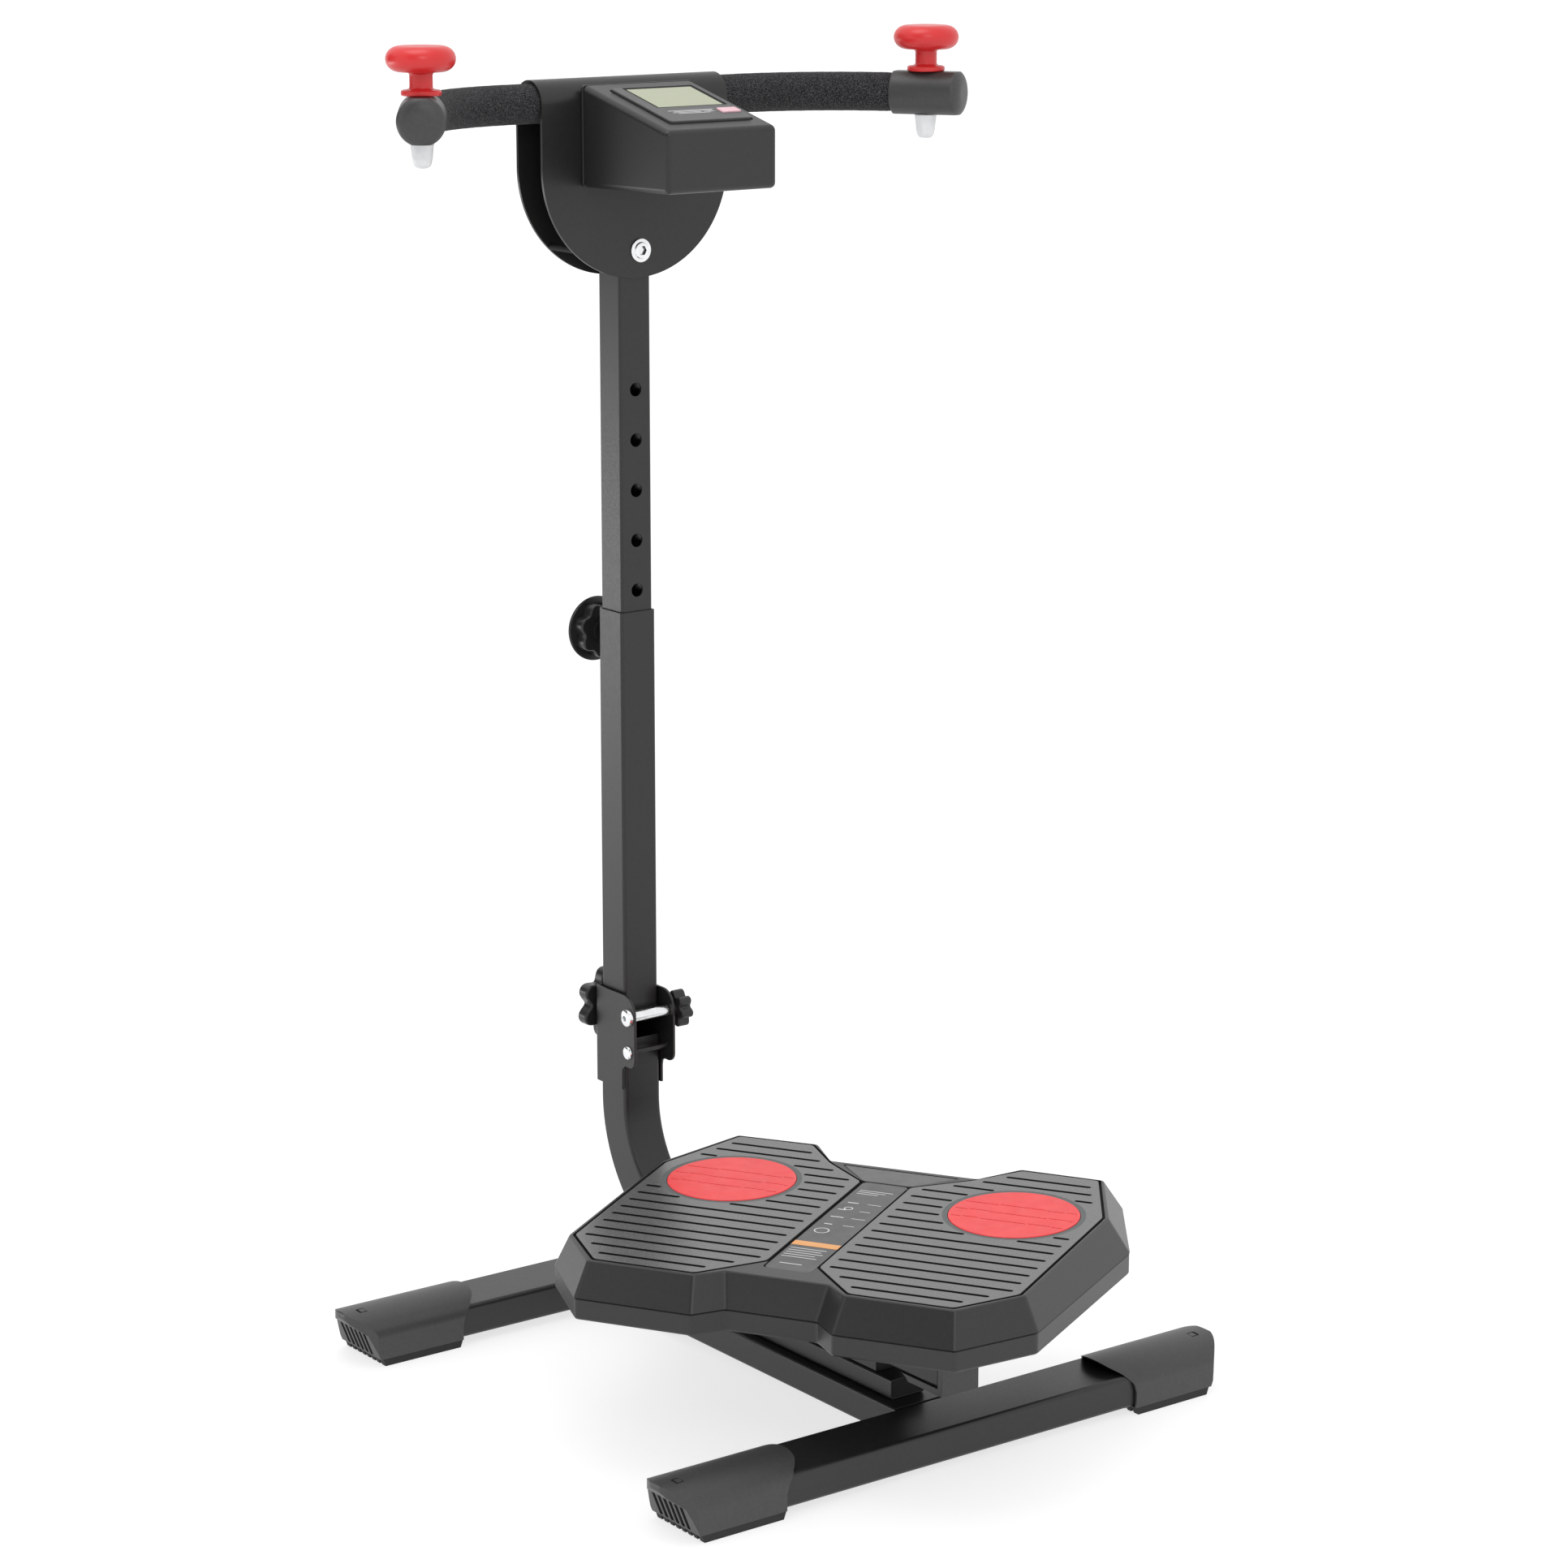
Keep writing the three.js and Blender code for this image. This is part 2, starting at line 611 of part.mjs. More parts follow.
// ---- lower post ----------------------------------------------------------------------------
const squareTube = (size, wall, radius, z0, z1) =>
  prism("z", roundedRect(size, size, radius, 2, 0, POST_Y), z0, z1, [
    roundedRect(size - 2 * wall, size - 2 * wall, Math.max(radius - wall, 0.6), 2, 0, POST_Y),
  ]);
const postFront = POST_Y - POST.size / 2;
const postRear = POST_Y + POST.size / 2;
place(
  machine,
  "post_tube",
  cut(
    join(
      squareTube(POST.size, POST.wall, 3, POST.bottom, POST.top),
      box(-18, 18, FOLD.y + 3, postFront + 1, FOLD.z - 4, FOLD.z + 4),
    ),
    rod("x", 6.0, -30, 30, [0, FOLD.y, FOLD.z], 24),
    rod("y", 4.3, POST_Y + 10, POST_Y + 30, [0, 0, PIN_Z], 16),
  ),
  paint,
);
place(machine, "hinge_sleeve", sleeve("x", 5.6, 4.0, -22, 22, [0, FOLD.y, FOLD.z], 24), zinc);
place(
  machine,
  "pin_housing",
  sleeve("y", 11, 4.3, postRear + GAP, postRear + 11, [0, 0, PIN_Z], 20),
  plastic,
);

// ---- mast ----------------------------------------------------------------------------------
const mastHoles = [];
for (let i = 0; i < 6; i += 1) {
  const z = MAST.firstHole - MAST.pitch * i;
  mastHoles.push(rod("y", MAST.hole, POST_Y - 40, POST_Y + 40, [0, 0, z], 12));
}
place(
  machine,
  "mast_tube",
  cut(
    squareTube(MAST.size, MAST.wall, 2.6, MAST.bottom, MAST.top),
    ...mastHoles,
    rod("y", 4.4, POST_Y - 40, POST_Y + 40, [SADDLE.boltX, 0, SADDLE.boltZ], 12),
  ),
  paint,
);

function channelProfile() {
  const points = [];
  for (let i = 0; i <= 14; i += 1) {
    const a = (Math.PI * i) / 14;
    points.push([POST_Y + SADDLE.rOut * Math.cos(a), BAR.z + SADDLE.rOut * Math.sin(a)]);
  }
  points.push([POST_Y - SADDLE.rOut, 1050], [POST_Y - SADDLE.rIn, 1050]);
  for (let i = 0; i <= 14; i += 1) {
    const a = Math.PI - (Math.PI * i) / 14;
    points.push([POST_Y + SADDLE.rIn * Math.cos(a), BAR.z + SADDLE.rIn * Math.sin(a)]);
  }
  points.push([POST_Y + SADDLE.rIn, 1050], [POST_Y + SADDLE.rOut, 1050]);
  return points;
}
const bib = [[SADDLE.half, 1300], [-SADDLE.half, 1300]];
for (let i = 0; i <= 24; i += 1) {
  const a = Math.PI + (Math.PI * i) / 24;
  bib.push([SADDLE.half * Math.cos(a), SADDLE.arcZ + SADDLE.half * Math.sin(a)]);
}
place(
  machine,
  "saddle_plate",
  cut(
    common(prism("x", channelProfile(), -SADDLE.half, SADDLE.half), prism("y", bib, 200, 350)),
    rod("y", 4.4, 200, 350, [SADDLE.boltX, 0, SADDLE.boltZ], 12),
  ),
  paint,
);
const insideFrom = POST_Y - SADDLE.rIn + GAP;
const insideTo = POST_Y + SADDLE.rIn - GAP;
for (const [hand, side] of [["left", -1], ["right", 1]]) {
  const tie = rod("y", TIE.r, insideFrom, insideTo, [side * TIE.x, 0, TIE.z], 12);
  place(machine, `saddle_tie_${hand}`, tie, paint);
}
const saddleFront = POST_Y - SADDLE.rOut - GAP;
const saddleRear = POST_Y + SADDLE.rOut + GAP;
place(
  machine,
  "saddle_bolt",
  cut(
    turned(
      "y",
      [[0, saddleFront - 3.4], [9, saddleFront - 3.4], [11.6, saddleFront - 1.4], [11.6, saddleFront],
        [4, saddleFront], [4, saddleRear + 8], [0, saddleRear + 8]],
      [SADDLE.boltX, 0, SADDLE.boltZ],
      20,
    ),
    prism("y", ring(4.6, 6, 0, SADDLE.boltX, SADDLE.boltZ), saddleFront - 6, saddleFront - 1.2),
  ),
  zinc,
);
place(
  machine,
  "saddle_nut",
  prism("y", ring(8.1, 6, 0, SADDLE.boltX, SADDLE.boltZ), saddleRear, saddleRear + 6.5, [
    ring(4.3, 20, 0, SADDLE.boltX, SADDLE.boltZ),
  ]),
  zinc,
);
place(
  machine,
  "bar_cradle",
  cut(
    box(-17, 17, POST_Y - 15, POST_Y + 15, MAST.top + GAP, BAR.z - 4),
    rod("x", BAR.r + GAP, -30, 30, [0, POST_Y, BAR.z], 20),
  ),
  paint,
);

// ---- handlebar -----------------------------------------------------------------------------
const bendOut = deg(BAR.angle);
const bendEnd = [
  BAR.straight + BAR.bend * Math.sin(bendOut),
  POST_Y - BAR.bend * (1 - Math.cos(bendOut)),
];
const tailDir = [Math.cos(bendOut), -Math.sin(bendOut)];
const tailPoint = (t) => [bendEnd[0] + tailDir[0] * t, bendEnd[1] + tailDir[1] * t];
const forward = new THREE.Vector3(0, -1, 0);
const rightward = new THREE.Vector3(1, 0, 0);
const [tipX, tipY] = tailPoint(BAR.tail);
const barHalf = [
  { straight: BAR.tail },
  { radius: BAR.bend, angle: BAR.angle },
  { straight: 2 * BAR.straight },
  { radius: BAR.bend, angle: BAR.angle },
  { straight: BAR.tail },
];
const barHeading = new THREE.Vector3(tailDir[0], -tailDir[1], 0);
const barInward = new THREE.Vector3(-tailDir[1], -tailDir[0], 0);
const barPath = new BentPath(new THREE.Vector3(-tipX, tipY, BAR.z), barHeading, barInward, barHalf);
place(machine, "handlebar_tube", sweep(ring(BAR.r, 12), barPath, 34), paint);

const gripPath = new BentPath(
  new THREE.Vector3(GRIP.start, POST_Y, BAR.z),
  rightward,
  forward,
  [{ straight: BAR.straight - GRIP.start }, { radius: BAR.bend, angle: BAR.angle - 0.6 }],
);
const longer = new BentPath(
  new THREE.Vector3(GRIP.start - 10, POST_Y, BAR.z),
  rightward,
  forward,
  [{ straight: BAR.straight - GRIP.start + 10 }, { radius: BAR.bend, angle: BAR.angle + 4 }],
);
const grip = cut(sweep(ring(GRIP.r, 18), gripPath, 12), sweep(ring(GRIP.bore, 12), longer, 14));

function endCap() {
  const { r, from, to } = END_CAP;
  const flat = END_CAP.r - 1.8;
  const body = turned(
    "x",
    [[0, from], [r - 1, from], [r, from + 1], [r, to - 9], [r - 1.2, to - 5], [r - 4, to - 2],
      [r - 9, to], [0, to]],
    [0, 0, 0],
    26,
  );
  return cut(
    body,
    rod("x", BAR.r + 0.4, from - 5, BAR.tail + 1, [0, 0, 0], 20),
    box(-10, 80, -30, 30, flat, 40),
    box(-10, 80, -30, 30, -40, -flat),
  );
}

const knobProfile = [
  [0, 1255.5], [17.6, 1255.5], [18.5, 1256.3], [18.5, 1259.6], [17.2, 1260.6], [12.2, 1261.4], [10.8, 1263],
  [10.8, 1274.6], [13, 1276.2], [24, 1277.2], [29.4, 1279.8], [32, 1284.2], [32.2, 1289], [30.6, 1294.2],
  [26.5, 1298], [18, 1300], [0, 1300.4],
];
const tipProfile = [
  [0, 1189.5], [5.2, 1190.2], [8, 1192.4], [9, 1196], [9.4, 1198], [10.9, 1212.9], [0, 1212.9],
];
for (const [hand, side] of [["left", -1], ["right", 1]]) {
  place(machine, `grip_${hand}`, grip.clone().scale(side, 1, 1), foam);
  const capGroup = new THREE.Group();
  capGroup.position.set(side * bendEnd[0], bendEnd[1], BAR.z);
  capGroup.rotation.z = side > 0 ? -bendOut : Math.PI + bendOut;
  machine.add(capGroup);
  place(capGroup, `end_cap_${hand}`, endCap(), plastic);
  const [kx, ky] = tailPoint(END_CAP.knobAt);
  place(machine, `massage_knob_${hand}`, turned("z", knobProfile, [side * kx, ky, 0], 26), red);
  place(machine, `knob_tip_${hand}`, turned("z", tipProfile, [side * kx, ky, 0], 18), clear);
}

// ---- console -------------------------------------------------------------------------------
const slope = Math.atan2(CONSOLE.backTop - CONSOLE.frontTop, CONSOLE.back - CONSOLE.front);
const consoleTop = new THREE.Group();
consoleTop.position.set(0, CONSOLE.front, CONSOLE.frontTop);
consoleTop.rotation.x = slope;
machine.add(consoleTop);

const BUTTON = { x: 38, y: 45, w: 22, d: 12 };
const buttonWell = (play, low, high) =>
  box(
    BUTTON.x - BUTTON.w / 2 - play,
    BUTTON.x + BUTTON.w / 2 + play,
    BUTTON.y - BUTTON.d / 2 - play,
    BUTTON.y + BUTTON.d / 2 + play,
    low,
    high,
  );
const consoleSide = [
  [CONSOLE.front + 3, CONSOLE.bottom + 1.5], [CONSOLE.back, CONSOLE.bottom - 1],
  [CONSOLE.back, CONSOLE.backTop], [CONSOLE.front + 3, CONSOLE.frontTop + 0.76],
  [CONSOLE.front, CONSOLE.frontTop - 2.6], [CONSOLE.front, CONSOLE.bottom + 4.5],
];
const consoleMid = (CONSOLE.front + CONSOLE.back) / 2;
const consoleDepth = CONSOLE.back - CONSOLE.front;
const consolePlan = roundedRect(2 * CONSOLE.half, consoleDepth, 5, 3, 0, consoleMid);
const toMachine = new THREE.Matrix4().makeRotationX(slope).setPosition(0, CONSOLE.front, CONSOLE.frontTop);
place(
  machine,
  "console_housing",
  cut(
    common(prism("x", consoleSide, -80, 80), prism("z", consolePlan, 1100, 1300)),
    buttonWell(0.4, -4.2, 10).applyMatrix4(toMachine),
  ),
  plastic,
);
const bezelPlan = roundedRect(96, 104, 4, 2, 3, 74);
const screenPlan = roundedRect(81, 61, 1, 1, 8, 93);
place(
  consoleTop,
  "console_bezel",
  cut(
    prism("z", bezelPlan, GAP, 2.4),
    prism("z", inset(screenPlan, -0.35), 1.1, 5),
    buttonWell(0.4, -1, 5),
  ),
  plastic,
);
place(consoleTop, "console_screen", prism("z", screenPlan, 1.4, 2.2), screen);
place(consoleTop, "console_button", buttonWell(0, -2.2, 3.7), pink);

// ---- knobs ---------------------------------------------------------------------------------
const FOLD_STAR = { lobes: 7, tip: 38.5, valley: 28.5, turn: 100 };
const SIDE_STAR = { lobes: 7, tip: 19.6, valley: 14.8, turn: 138 };
const PULL_STAR = { lobes: 7, tip: 28.5, valley: 24.5, turn: 163 };
const SCREW_Z = 316;

const knobStart = bracketRear + 3 + GAP;
place(
  machine,
  "fold_knob",
  cut(
    join(
      rod("y", 13, knobStart, knobStart + 4, [0, 0, SCREW_Z], 24),
      prism("y", starOutline(FOLD_STAR, [0, SCREW_Z]), knobStart + 3, knobStart + 18),
    ),
    rod("y", 4.5, knobStart - 5, knobStart + 12, [0, 0, SCREW_Z], 16),
  ),
  plastic,
);
place(
  machine,
  "fold_knob_screw",
  rod("y", 4.2, postRear + 1.2, knobStart + 11.7, [0, 0, SCREW_Z], 16),
  steel,
);

const sideStart = BRACKET_OUT + GAP;
place(
  machine,
  "side_knob",
  cut(
    join(
      rod("x", 9, sideStart, sideStart + 4, [0, FOLD.y, FOLD.z], 20),
      prism("x", starOutline(SIDE_STAR, [FOLD.y, FOLD.z]), sideStart + 3, sideStart + 17),
    ),
    rod("x", 4.0, sideStart - 5, 36.4, [0, FOLD.y, FOLD.z], 16),
  ),
  plastic,
);

// the pull knob: a round back disc, a lobed grip and a small hub towards the post
const PULL = { from: 310, gripFrom: 313, discFrom: 327.4, to: 330, discR: 33, hubR: 13.5 };
place(
  machine,
  "pull_knob",
  cut(
    join(
      rod("y", PULL.hubR, PULL.from, PULL.gripFrom + 1, [0, 0, PIN_Z], 24),
      prism("y", starOutline(PULL_STAR, [0, PIN_Z]), PULL.gripFrom, PULL.discFrom + 0.4),
      rod("y", PULL.discR, PULL.discFrom, PULL.to, [0, 0, PIN_Z], 40),
    ),
    rod("y", 4.3, PULL.from - 5, 322, [0, 0, PIN_Z], 16),
  ),
  plastic,
);
place(machine, "pull_pin", rod("y", 4.0, POST_Y + MAST.size / 2 + 0.4, 321.7, [0, 0, PIN_Z], 16), steel);

export default machine;
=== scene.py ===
"""Twist stepper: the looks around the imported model. Shapes are written in millimetres and made in
metres, +Z up. The user stands on the platform at -Y and faces the post at +Y."""
import math

import bmesh
import bpy
from mathutils import Matrix, Vector


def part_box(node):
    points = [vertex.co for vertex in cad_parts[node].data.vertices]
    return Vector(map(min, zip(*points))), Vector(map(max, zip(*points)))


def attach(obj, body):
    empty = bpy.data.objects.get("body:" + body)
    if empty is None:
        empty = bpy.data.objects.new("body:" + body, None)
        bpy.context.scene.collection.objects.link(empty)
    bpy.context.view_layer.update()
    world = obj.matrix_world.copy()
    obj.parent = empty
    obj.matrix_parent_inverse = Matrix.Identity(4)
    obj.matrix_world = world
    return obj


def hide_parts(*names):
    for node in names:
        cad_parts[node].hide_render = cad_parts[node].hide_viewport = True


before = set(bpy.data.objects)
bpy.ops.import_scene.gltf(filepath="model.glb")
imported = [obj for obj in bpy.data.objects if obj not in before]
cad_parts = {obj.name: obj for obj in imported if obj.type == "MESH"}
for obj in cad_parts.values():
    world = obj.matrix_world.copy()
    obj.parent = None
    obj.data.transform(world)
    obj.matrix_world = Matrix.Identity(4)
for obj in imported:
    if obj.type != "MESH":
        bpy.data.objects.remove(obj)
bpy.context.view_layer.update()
MM = 0.001
GAP = 0.3  # play between pieces that touch
HANDS = (("right", 1), ("left", -1))
THIN = 0.05  # least radius of a turned shape, so that its ends stay proper faces


def span(node):
    """Lowest and highest corner of a CAD node, in millimetres."""
    lo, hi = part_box(node)
    return lo / MM, hi / MM


def middle(node):
    lo, hi = span(node)
    return (lo + hi) / 2


# ---- places taken from the frame ----
POST_Y = middle("mast_tube").y
FRONT_Y = middle("front_stabiliser").y
REAR_Y = middle("rear_stabiliser").y
PIVOT_Y = middle("pivot_shaft").y
FOLD = middle("hinge_sleeve")
STOP = middle("stop_pin")
PIN = middle("pull_pin")
BAR = middle("handlebar_tube")
SCREW = middle("fold_knob_screw")
BOLT = middle("saddle_bolt")
SADDLE_LO, SADDLE_HI = span("saddle_plate")
DECK_Z = span("platform_shell")[1].z
SEAM_Z = span("platform_shell")[0].z
TRAY_Z = span("platform_tray")[0].z
MAT_TOP = span("mat_left")[1].z
YAW = math.radians(-58.4)  # how far the platform is turned at rest
PLATFORM = Matrix.Translation((0, PIVOT_Y, 0)) @ Matrix.Rotation(YAW, 4, "Z")


# ---- outlines ----
def rect(x0, x1, y0, y1):
    return [(x0, y0), (x1, y0), (x1, y1), (x0, y1)]


def arc(x, y, radius, start, sweep, steps, ry=None):
    """Points on a circle or ellipse round (x, y), from start over sweep degrees."""
    ry = radius if ry is None else ry
    turns = [math.radians(start + sweep * i / steps) for i in range(steps + 1)]
    return [(x + radius * math.cos(a), y + ry * math.sin(a)) for a in turns]


def rounded_rect(width, height, radius, steps=6):
    points = []
    for sx, sy, start in ((1, -1, -90), (1, 1, 0), (-1, 1, 90), (-1, -1, 180)):
        x, y = sx * (width / 2 - radius), sy * (height / 2 - radius)
        points += arc(x, y, radius, start, 90, steps)
    return points


def ring(radius, count=32, centre=(0, 0), ry=None):
    ry = radius if ry is None else ry
    turns = [2 * math.pi * i / count for i in range(count)]
    return [(centre[0] + radius * math.cos(a), centre[1] + ry * math.sin(a)) for a in turns]


def star(lobes, tip, valley, turn, centre, per_lobe=14):
    """A lobed outline; turn (degrees) is where one lobe points."""
    points = []
    for i in range(lobes * per_lobe):
        a = 2 * math.pi * i / (lobes * per_lobe)
        wave = math.cos(lobes * a) - 0.14 * math.cos(2 * lobes * a)
        r = (tip + valley) / 2 + (tip - valley) / 2 * wave
        b = a + math.radians(turn)
        points.append((centre[0] + r * math.cos(b), centre[1] + r * math.sin(b)))
    return points


def flipped(points):
    return [(-x, y) for x, y in reversed(points)]


def mirrored(half):
    return half + flipped(half)


def shifted(points, x, y):
    return [(a + x, b + y) for a, b in points]


def crossings(points, y):
    """Where the outline crosses the line of height y."""
    return [x0 + (x1 - x0) * (y - y0) / (y1 - y0)
            for (x0, y0), (x1, y1) in zip(points, points[1:] + points[:1]) if (y0 > y) != (y1 > y)]


def inset(points, d):
    """The outline with every edge moved inwards by d."""
    lines = []
    for (x0, y0), (x1, y1) in zip(points, points[1:] + points[:1]):
        length = math.hypot(x1 - x0, y1 - y0)
        ux, uy = (x1 - x0) / length, (y1 - y0) / length
        lines.append((x0 - uy * d, y0 + ux * d, ux, uy))
    moved = []
    for (bx, by, bux, buy), (x, y, ux, uy) in zip(lines[-1:] + lines[:-1], lines):
        cross = bux * uy - buy * ux
        t = 0 if abs(cross) < 1e-6 else ((x - bx) * uy - (y - by) * ux) / cross
        moved.append((bx + bux * t, by + buy * t) if abs(cross) > 1e-6 else (x, y))
    return moved


def softened(points, radius, steps=4):
    """The outline with each corner replaced by a short curve that starts radius away from it."""
    out = []
    n = len(points)
    for i, (x, y) in enumerate(points):
        here = Vector((x, y))
        before = Vector(points[i - 1]) - here
        after = Vector(points[(i + 1) % n]) - here
        a = here + before.normalized() * min(radius, before.length * 0.45)
        b = here + after.normalized() * min(radius, after.length * 0.45)
        for k in range(steps + 1):
            t = k / steps
            out.append(tuple(a.lerp(here, t).lerp(here.lerp(b, t), t)))
    return out


# ---- solids: (vertices, faces) in millimetres ----
def skin(rings, cyclic=False):
    """Joins rings of equal length into one closed surface."""
    n = len(rings[0])
    last = len(rings) if cyclic else len(rings) - 1
    faces = []
    for k in range(last):
        a, b = k * n, (k + 1) % len(rings) * n
        faces += [(a + i, a + (i + 1) % n, b + (i + 1) % n, b + i) for i in range(n)]
    if not cyclic:
        faces.append(tuple(reversed(range(n))))
        faces.append(tuple((len(rings) - 1) * n + i for i in range(n)))
    return [p for r in rings for p in r], faces


def lay(axis, a, b, t):
    """A point from two numbers across an axis and one along it."""
    return {"x": (t, a, b), "y": (a, t, b), "z": (a, b, t)}[axis]


def prism(axis, outline, t0, t1):
    return skin([[lay(axis, a, b, t) for a, b in outline] for t in (t0, t1)])


def pillow(axis, outline, t0, t1, edge, steps=4):
    """A prism whose two end edges are rounded over."""
    rings = []
    for end, sign in ((t0, 1), (t1, -1)):
        part = []
        for i in range(steps + 1):
            a = math.radians(90 * i / steps)
            rim = inset(outline, edge * (1 - math.sin(a)))
            part.append([lay(axis, p, q, end + sign * edge * (1 - math.cos(a))) for p, q in rim])
        rings += part if sign > 0 else part[::-1]
    return skin(rings)


def turned(axis, profile, centre, count=48, cyclic=False):
    """profile: (radius, place along the axis) pairs; centre: the two numbers across the axis."""
    rounds = [(ring(max(r, THIN), count, centre), t) for r, t in profile]
    return skin([[lay(axis, a, b, t) for a, b in points] for points, t in rounds], cyclic)


def cylinder(axis, radius, t0, t1, centre, count=48):
    return turned(axis, [(radius, t0), (radius, t1)], centre, count)


def sleeve(axis, outer, bore, t0, t1, centre, edge):
    """A short tube with chamfered outer edges."""
    profile = [
        (bore, t0), (outer - edge, t0), (outer, t0 + edge),
        (outer, t1 - edge), (outer - edge, t1), (bore, t1),
    ]
    return turned(axis, profile, centre, cyclic=True)


def swept(stations, outline):
    return [[p + across * a + up * b for a, b in outline] for p, across, up in stations]


def tube(stations, outline, core=None):
    """Sweeps an outline along stations of (point, across, up); core makes it hollow."""
    if core is None:
        return skin(swept(stations, outline))
    return skin(swept(stations, outline) + swept(stations, core)[::-1], cyclic=True)


def straight(axis, t0, t1, at):
    """Stations of a straight run through the point at."""
    across, up, along = (Vector(lay(axis, *v)) for v in ((1, 0, 0), (0, 1, 0), (0, 0, 1)))
    foot = Vector(at) - along * Vector(at).dot(along)
    return [(foot + along * t, across, up) for t in (t0, t1)]


def bent(start, heading, inward, parts):
    """Stations of a path of straights (length,) and bends (radius, angle, steps) in one plane."""
    up = heading.cross(inward)
    point, turn = Vector(start), 0.0

    def along(a):
        return heading * math.cos(a) + inward * math.sin(a)

    def across(a):
        return along(a + math.pi / 2)

    stations = [(point.copy(), across(turn), up)]
    for part in parts:
        if len(part) == 1:
            point = point + along(turn) * part[0]
            stations.append((point.copy(), across(turn), up))
            continue
        radius, angle, steps = part
        centre = point + across(turn) * radius
        for i in range(1, steps + 1):
            a = turn + math.radians(angle) * i / steps
            stations.append((centre - across(a) * radius, across(a), up))
        turn += math.radians(angle)
        point = stations[-1][0].copy()
    return stations


# ---- objects ----
def linked(name, data):
    ob = bpy.data.objects.new(name, data)
    bpy.context.scene.collection.objects.link(ob)
    return ob


def solid(geometry):
    """A scene object, in metres, from (vertices, faces) in millimetres."""
    verts, faces = geometry
    mesh = bpy.data.meshes.new("part")
    mesh.from_pydata([Vector(v) * MM for v in verts], [], faces)
    bm = bmesh.new()
    bm.from_mesh(mesh)
    bmesh.ops.recalc_face_normals(bm, faces=bm.faces)
    bm.to_mesh(mesh)
    bm.free()
    return linked("part", mesh)


def taken_back(ob):
    """The (vertices, faces) of a scene object that isn't needed any more, in millimetres."""
    verts = [v.co / MM for v in ob.data.vertices]
    faces = [tuple(p.vertices) for p in ob.data.polygons]
    bpy.data.objects.remove(ob)
    return verts, faces


def moved(matrix, geometry):
    verts, faces = geometry
    return [matrix @ Vector(v) for v in verts], faces


def twins(first, move=None):
    """Yields each hand with a copy of the right-hand object, mirrored for the left; first goes."""
    for hand, side in HANDS:
        mesh = first.data.copy()
        if side < 0:
            mesh.transform(Matrix.Diagonal((-1, 1, 1, 1)))
            mesh.flip_normals()
        if move:
            mesh.transform(move)
        yield hand, linked("part", mesh)
    bpy.data.objects.remove(first)


def merged(*geometries):
    """Several separate bodies as one (vertices, faces) pair."""
    verts, faces = [], []
    for v, f in geometries:
        faces += [tuple(i + len(verts) for i in face) for face in f]
        verts += v
    return verts, faces


def bake(ob):
    """Turns the object's modifiers into its mesh."""
    graph = bpy.context.evaluated_depsgraph_get()
    mesh = bpy.data.meshes.new_from_object(ob.evaluated_get(graph))
    old = ob.data
    ob.modifiers.clear()
    ob.data = mesh
    bpy.data.meshes.remove(old)
    return ob


def carve(ob, *tools, mode="DIFFERENCE"):
    for geometry in tools:
        tool = solid(geometry)
        cut = ob.modifiers.new("cut", "BOOLEAN")
        cut.operation = mode
        cut.solver = "EXACT"
        cut.object = tool
        bake(ob)
        bpy.data.objects.remove(tool)
    return ob


def keep(ob, tool):
    """Leaves only what lies inside the tool."""
    return carve(ob, tool, mode="INTERSECT")


def soften(ob, width, segments=3, angle=30):
    """Rounds every edge sharper than angle."""
    mod = ob.modifiers.new("round", "BEVEL")
    mod.width = width * MM
    mod.segments = segments
    mod.limit_method = "ANGLE"
    mod.angle_limit = math.radians(angle)
    mod.use_clamp_overlap = True
    mod.miter_outer = "MITER_ARC"
    return bake(ob)


def shade(ob, angle=32):
    ob.data.polygons.foreach_set("use_smooth", [True] * len(ob.data.polygons))
    ob.data.set_sharp_from_angle(angle=math.radians(angle))
    return ob


def even_normals(ob):
    """Lets the large faces set the shading, so that they stay flat between rounded edges."""
    mod = ob.modifiers.new("even", "WEIGHTED_NORMAL")
    mod.mode = "FACE_AREA"
    mod.keep_sharp = True
    return bake(ob)


def piece(ob, name, body, look, replaces=(), angle=32):
    """Names a finished object, gives it its material and lets it ride on its body."""
    ob.name = name
    if not ob.data.materials:
        ob.data.materials.append(look)
    even_normals(shade(ob, angle))
    ob.data.name = name
    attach(ob, body)
    if replaces:
        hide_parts(*replaces)
    return ob


def stand_in(ob, node, body, look, angle=32):
    """The finished shape of a CAD node."""
    return piece(ob, f"{node}_shape", body, look, [node], angle=angle)


def paint_faces(ob, looks, choose):
    """Gives each face the material whose number choose(face) returns."""
    ob.data.materials.clear()
    for look in looks:
        ob.data.materials.append(look)
    for face in ob.data.polygons:
        face.material_index = choose(face)


def dress(node, look, angle=32):
    """A CAD node whose shape is right keeps its mesh and gets a finished material."""
    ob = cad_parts[node]
    ob.data.materials.clear()
    ob.data.materials.append(look)
    return shade(ob, angle)


# ---- materials ----
def grey(value):
    return value, value, value


MIDRANGE = (0.3, 0.7)  # the part of a noise's range that its values mostly lie in


def set_inputs(node, values):
    for name, value in values.items():
        node.inputs[name.replace("_", " ")].default_value = value


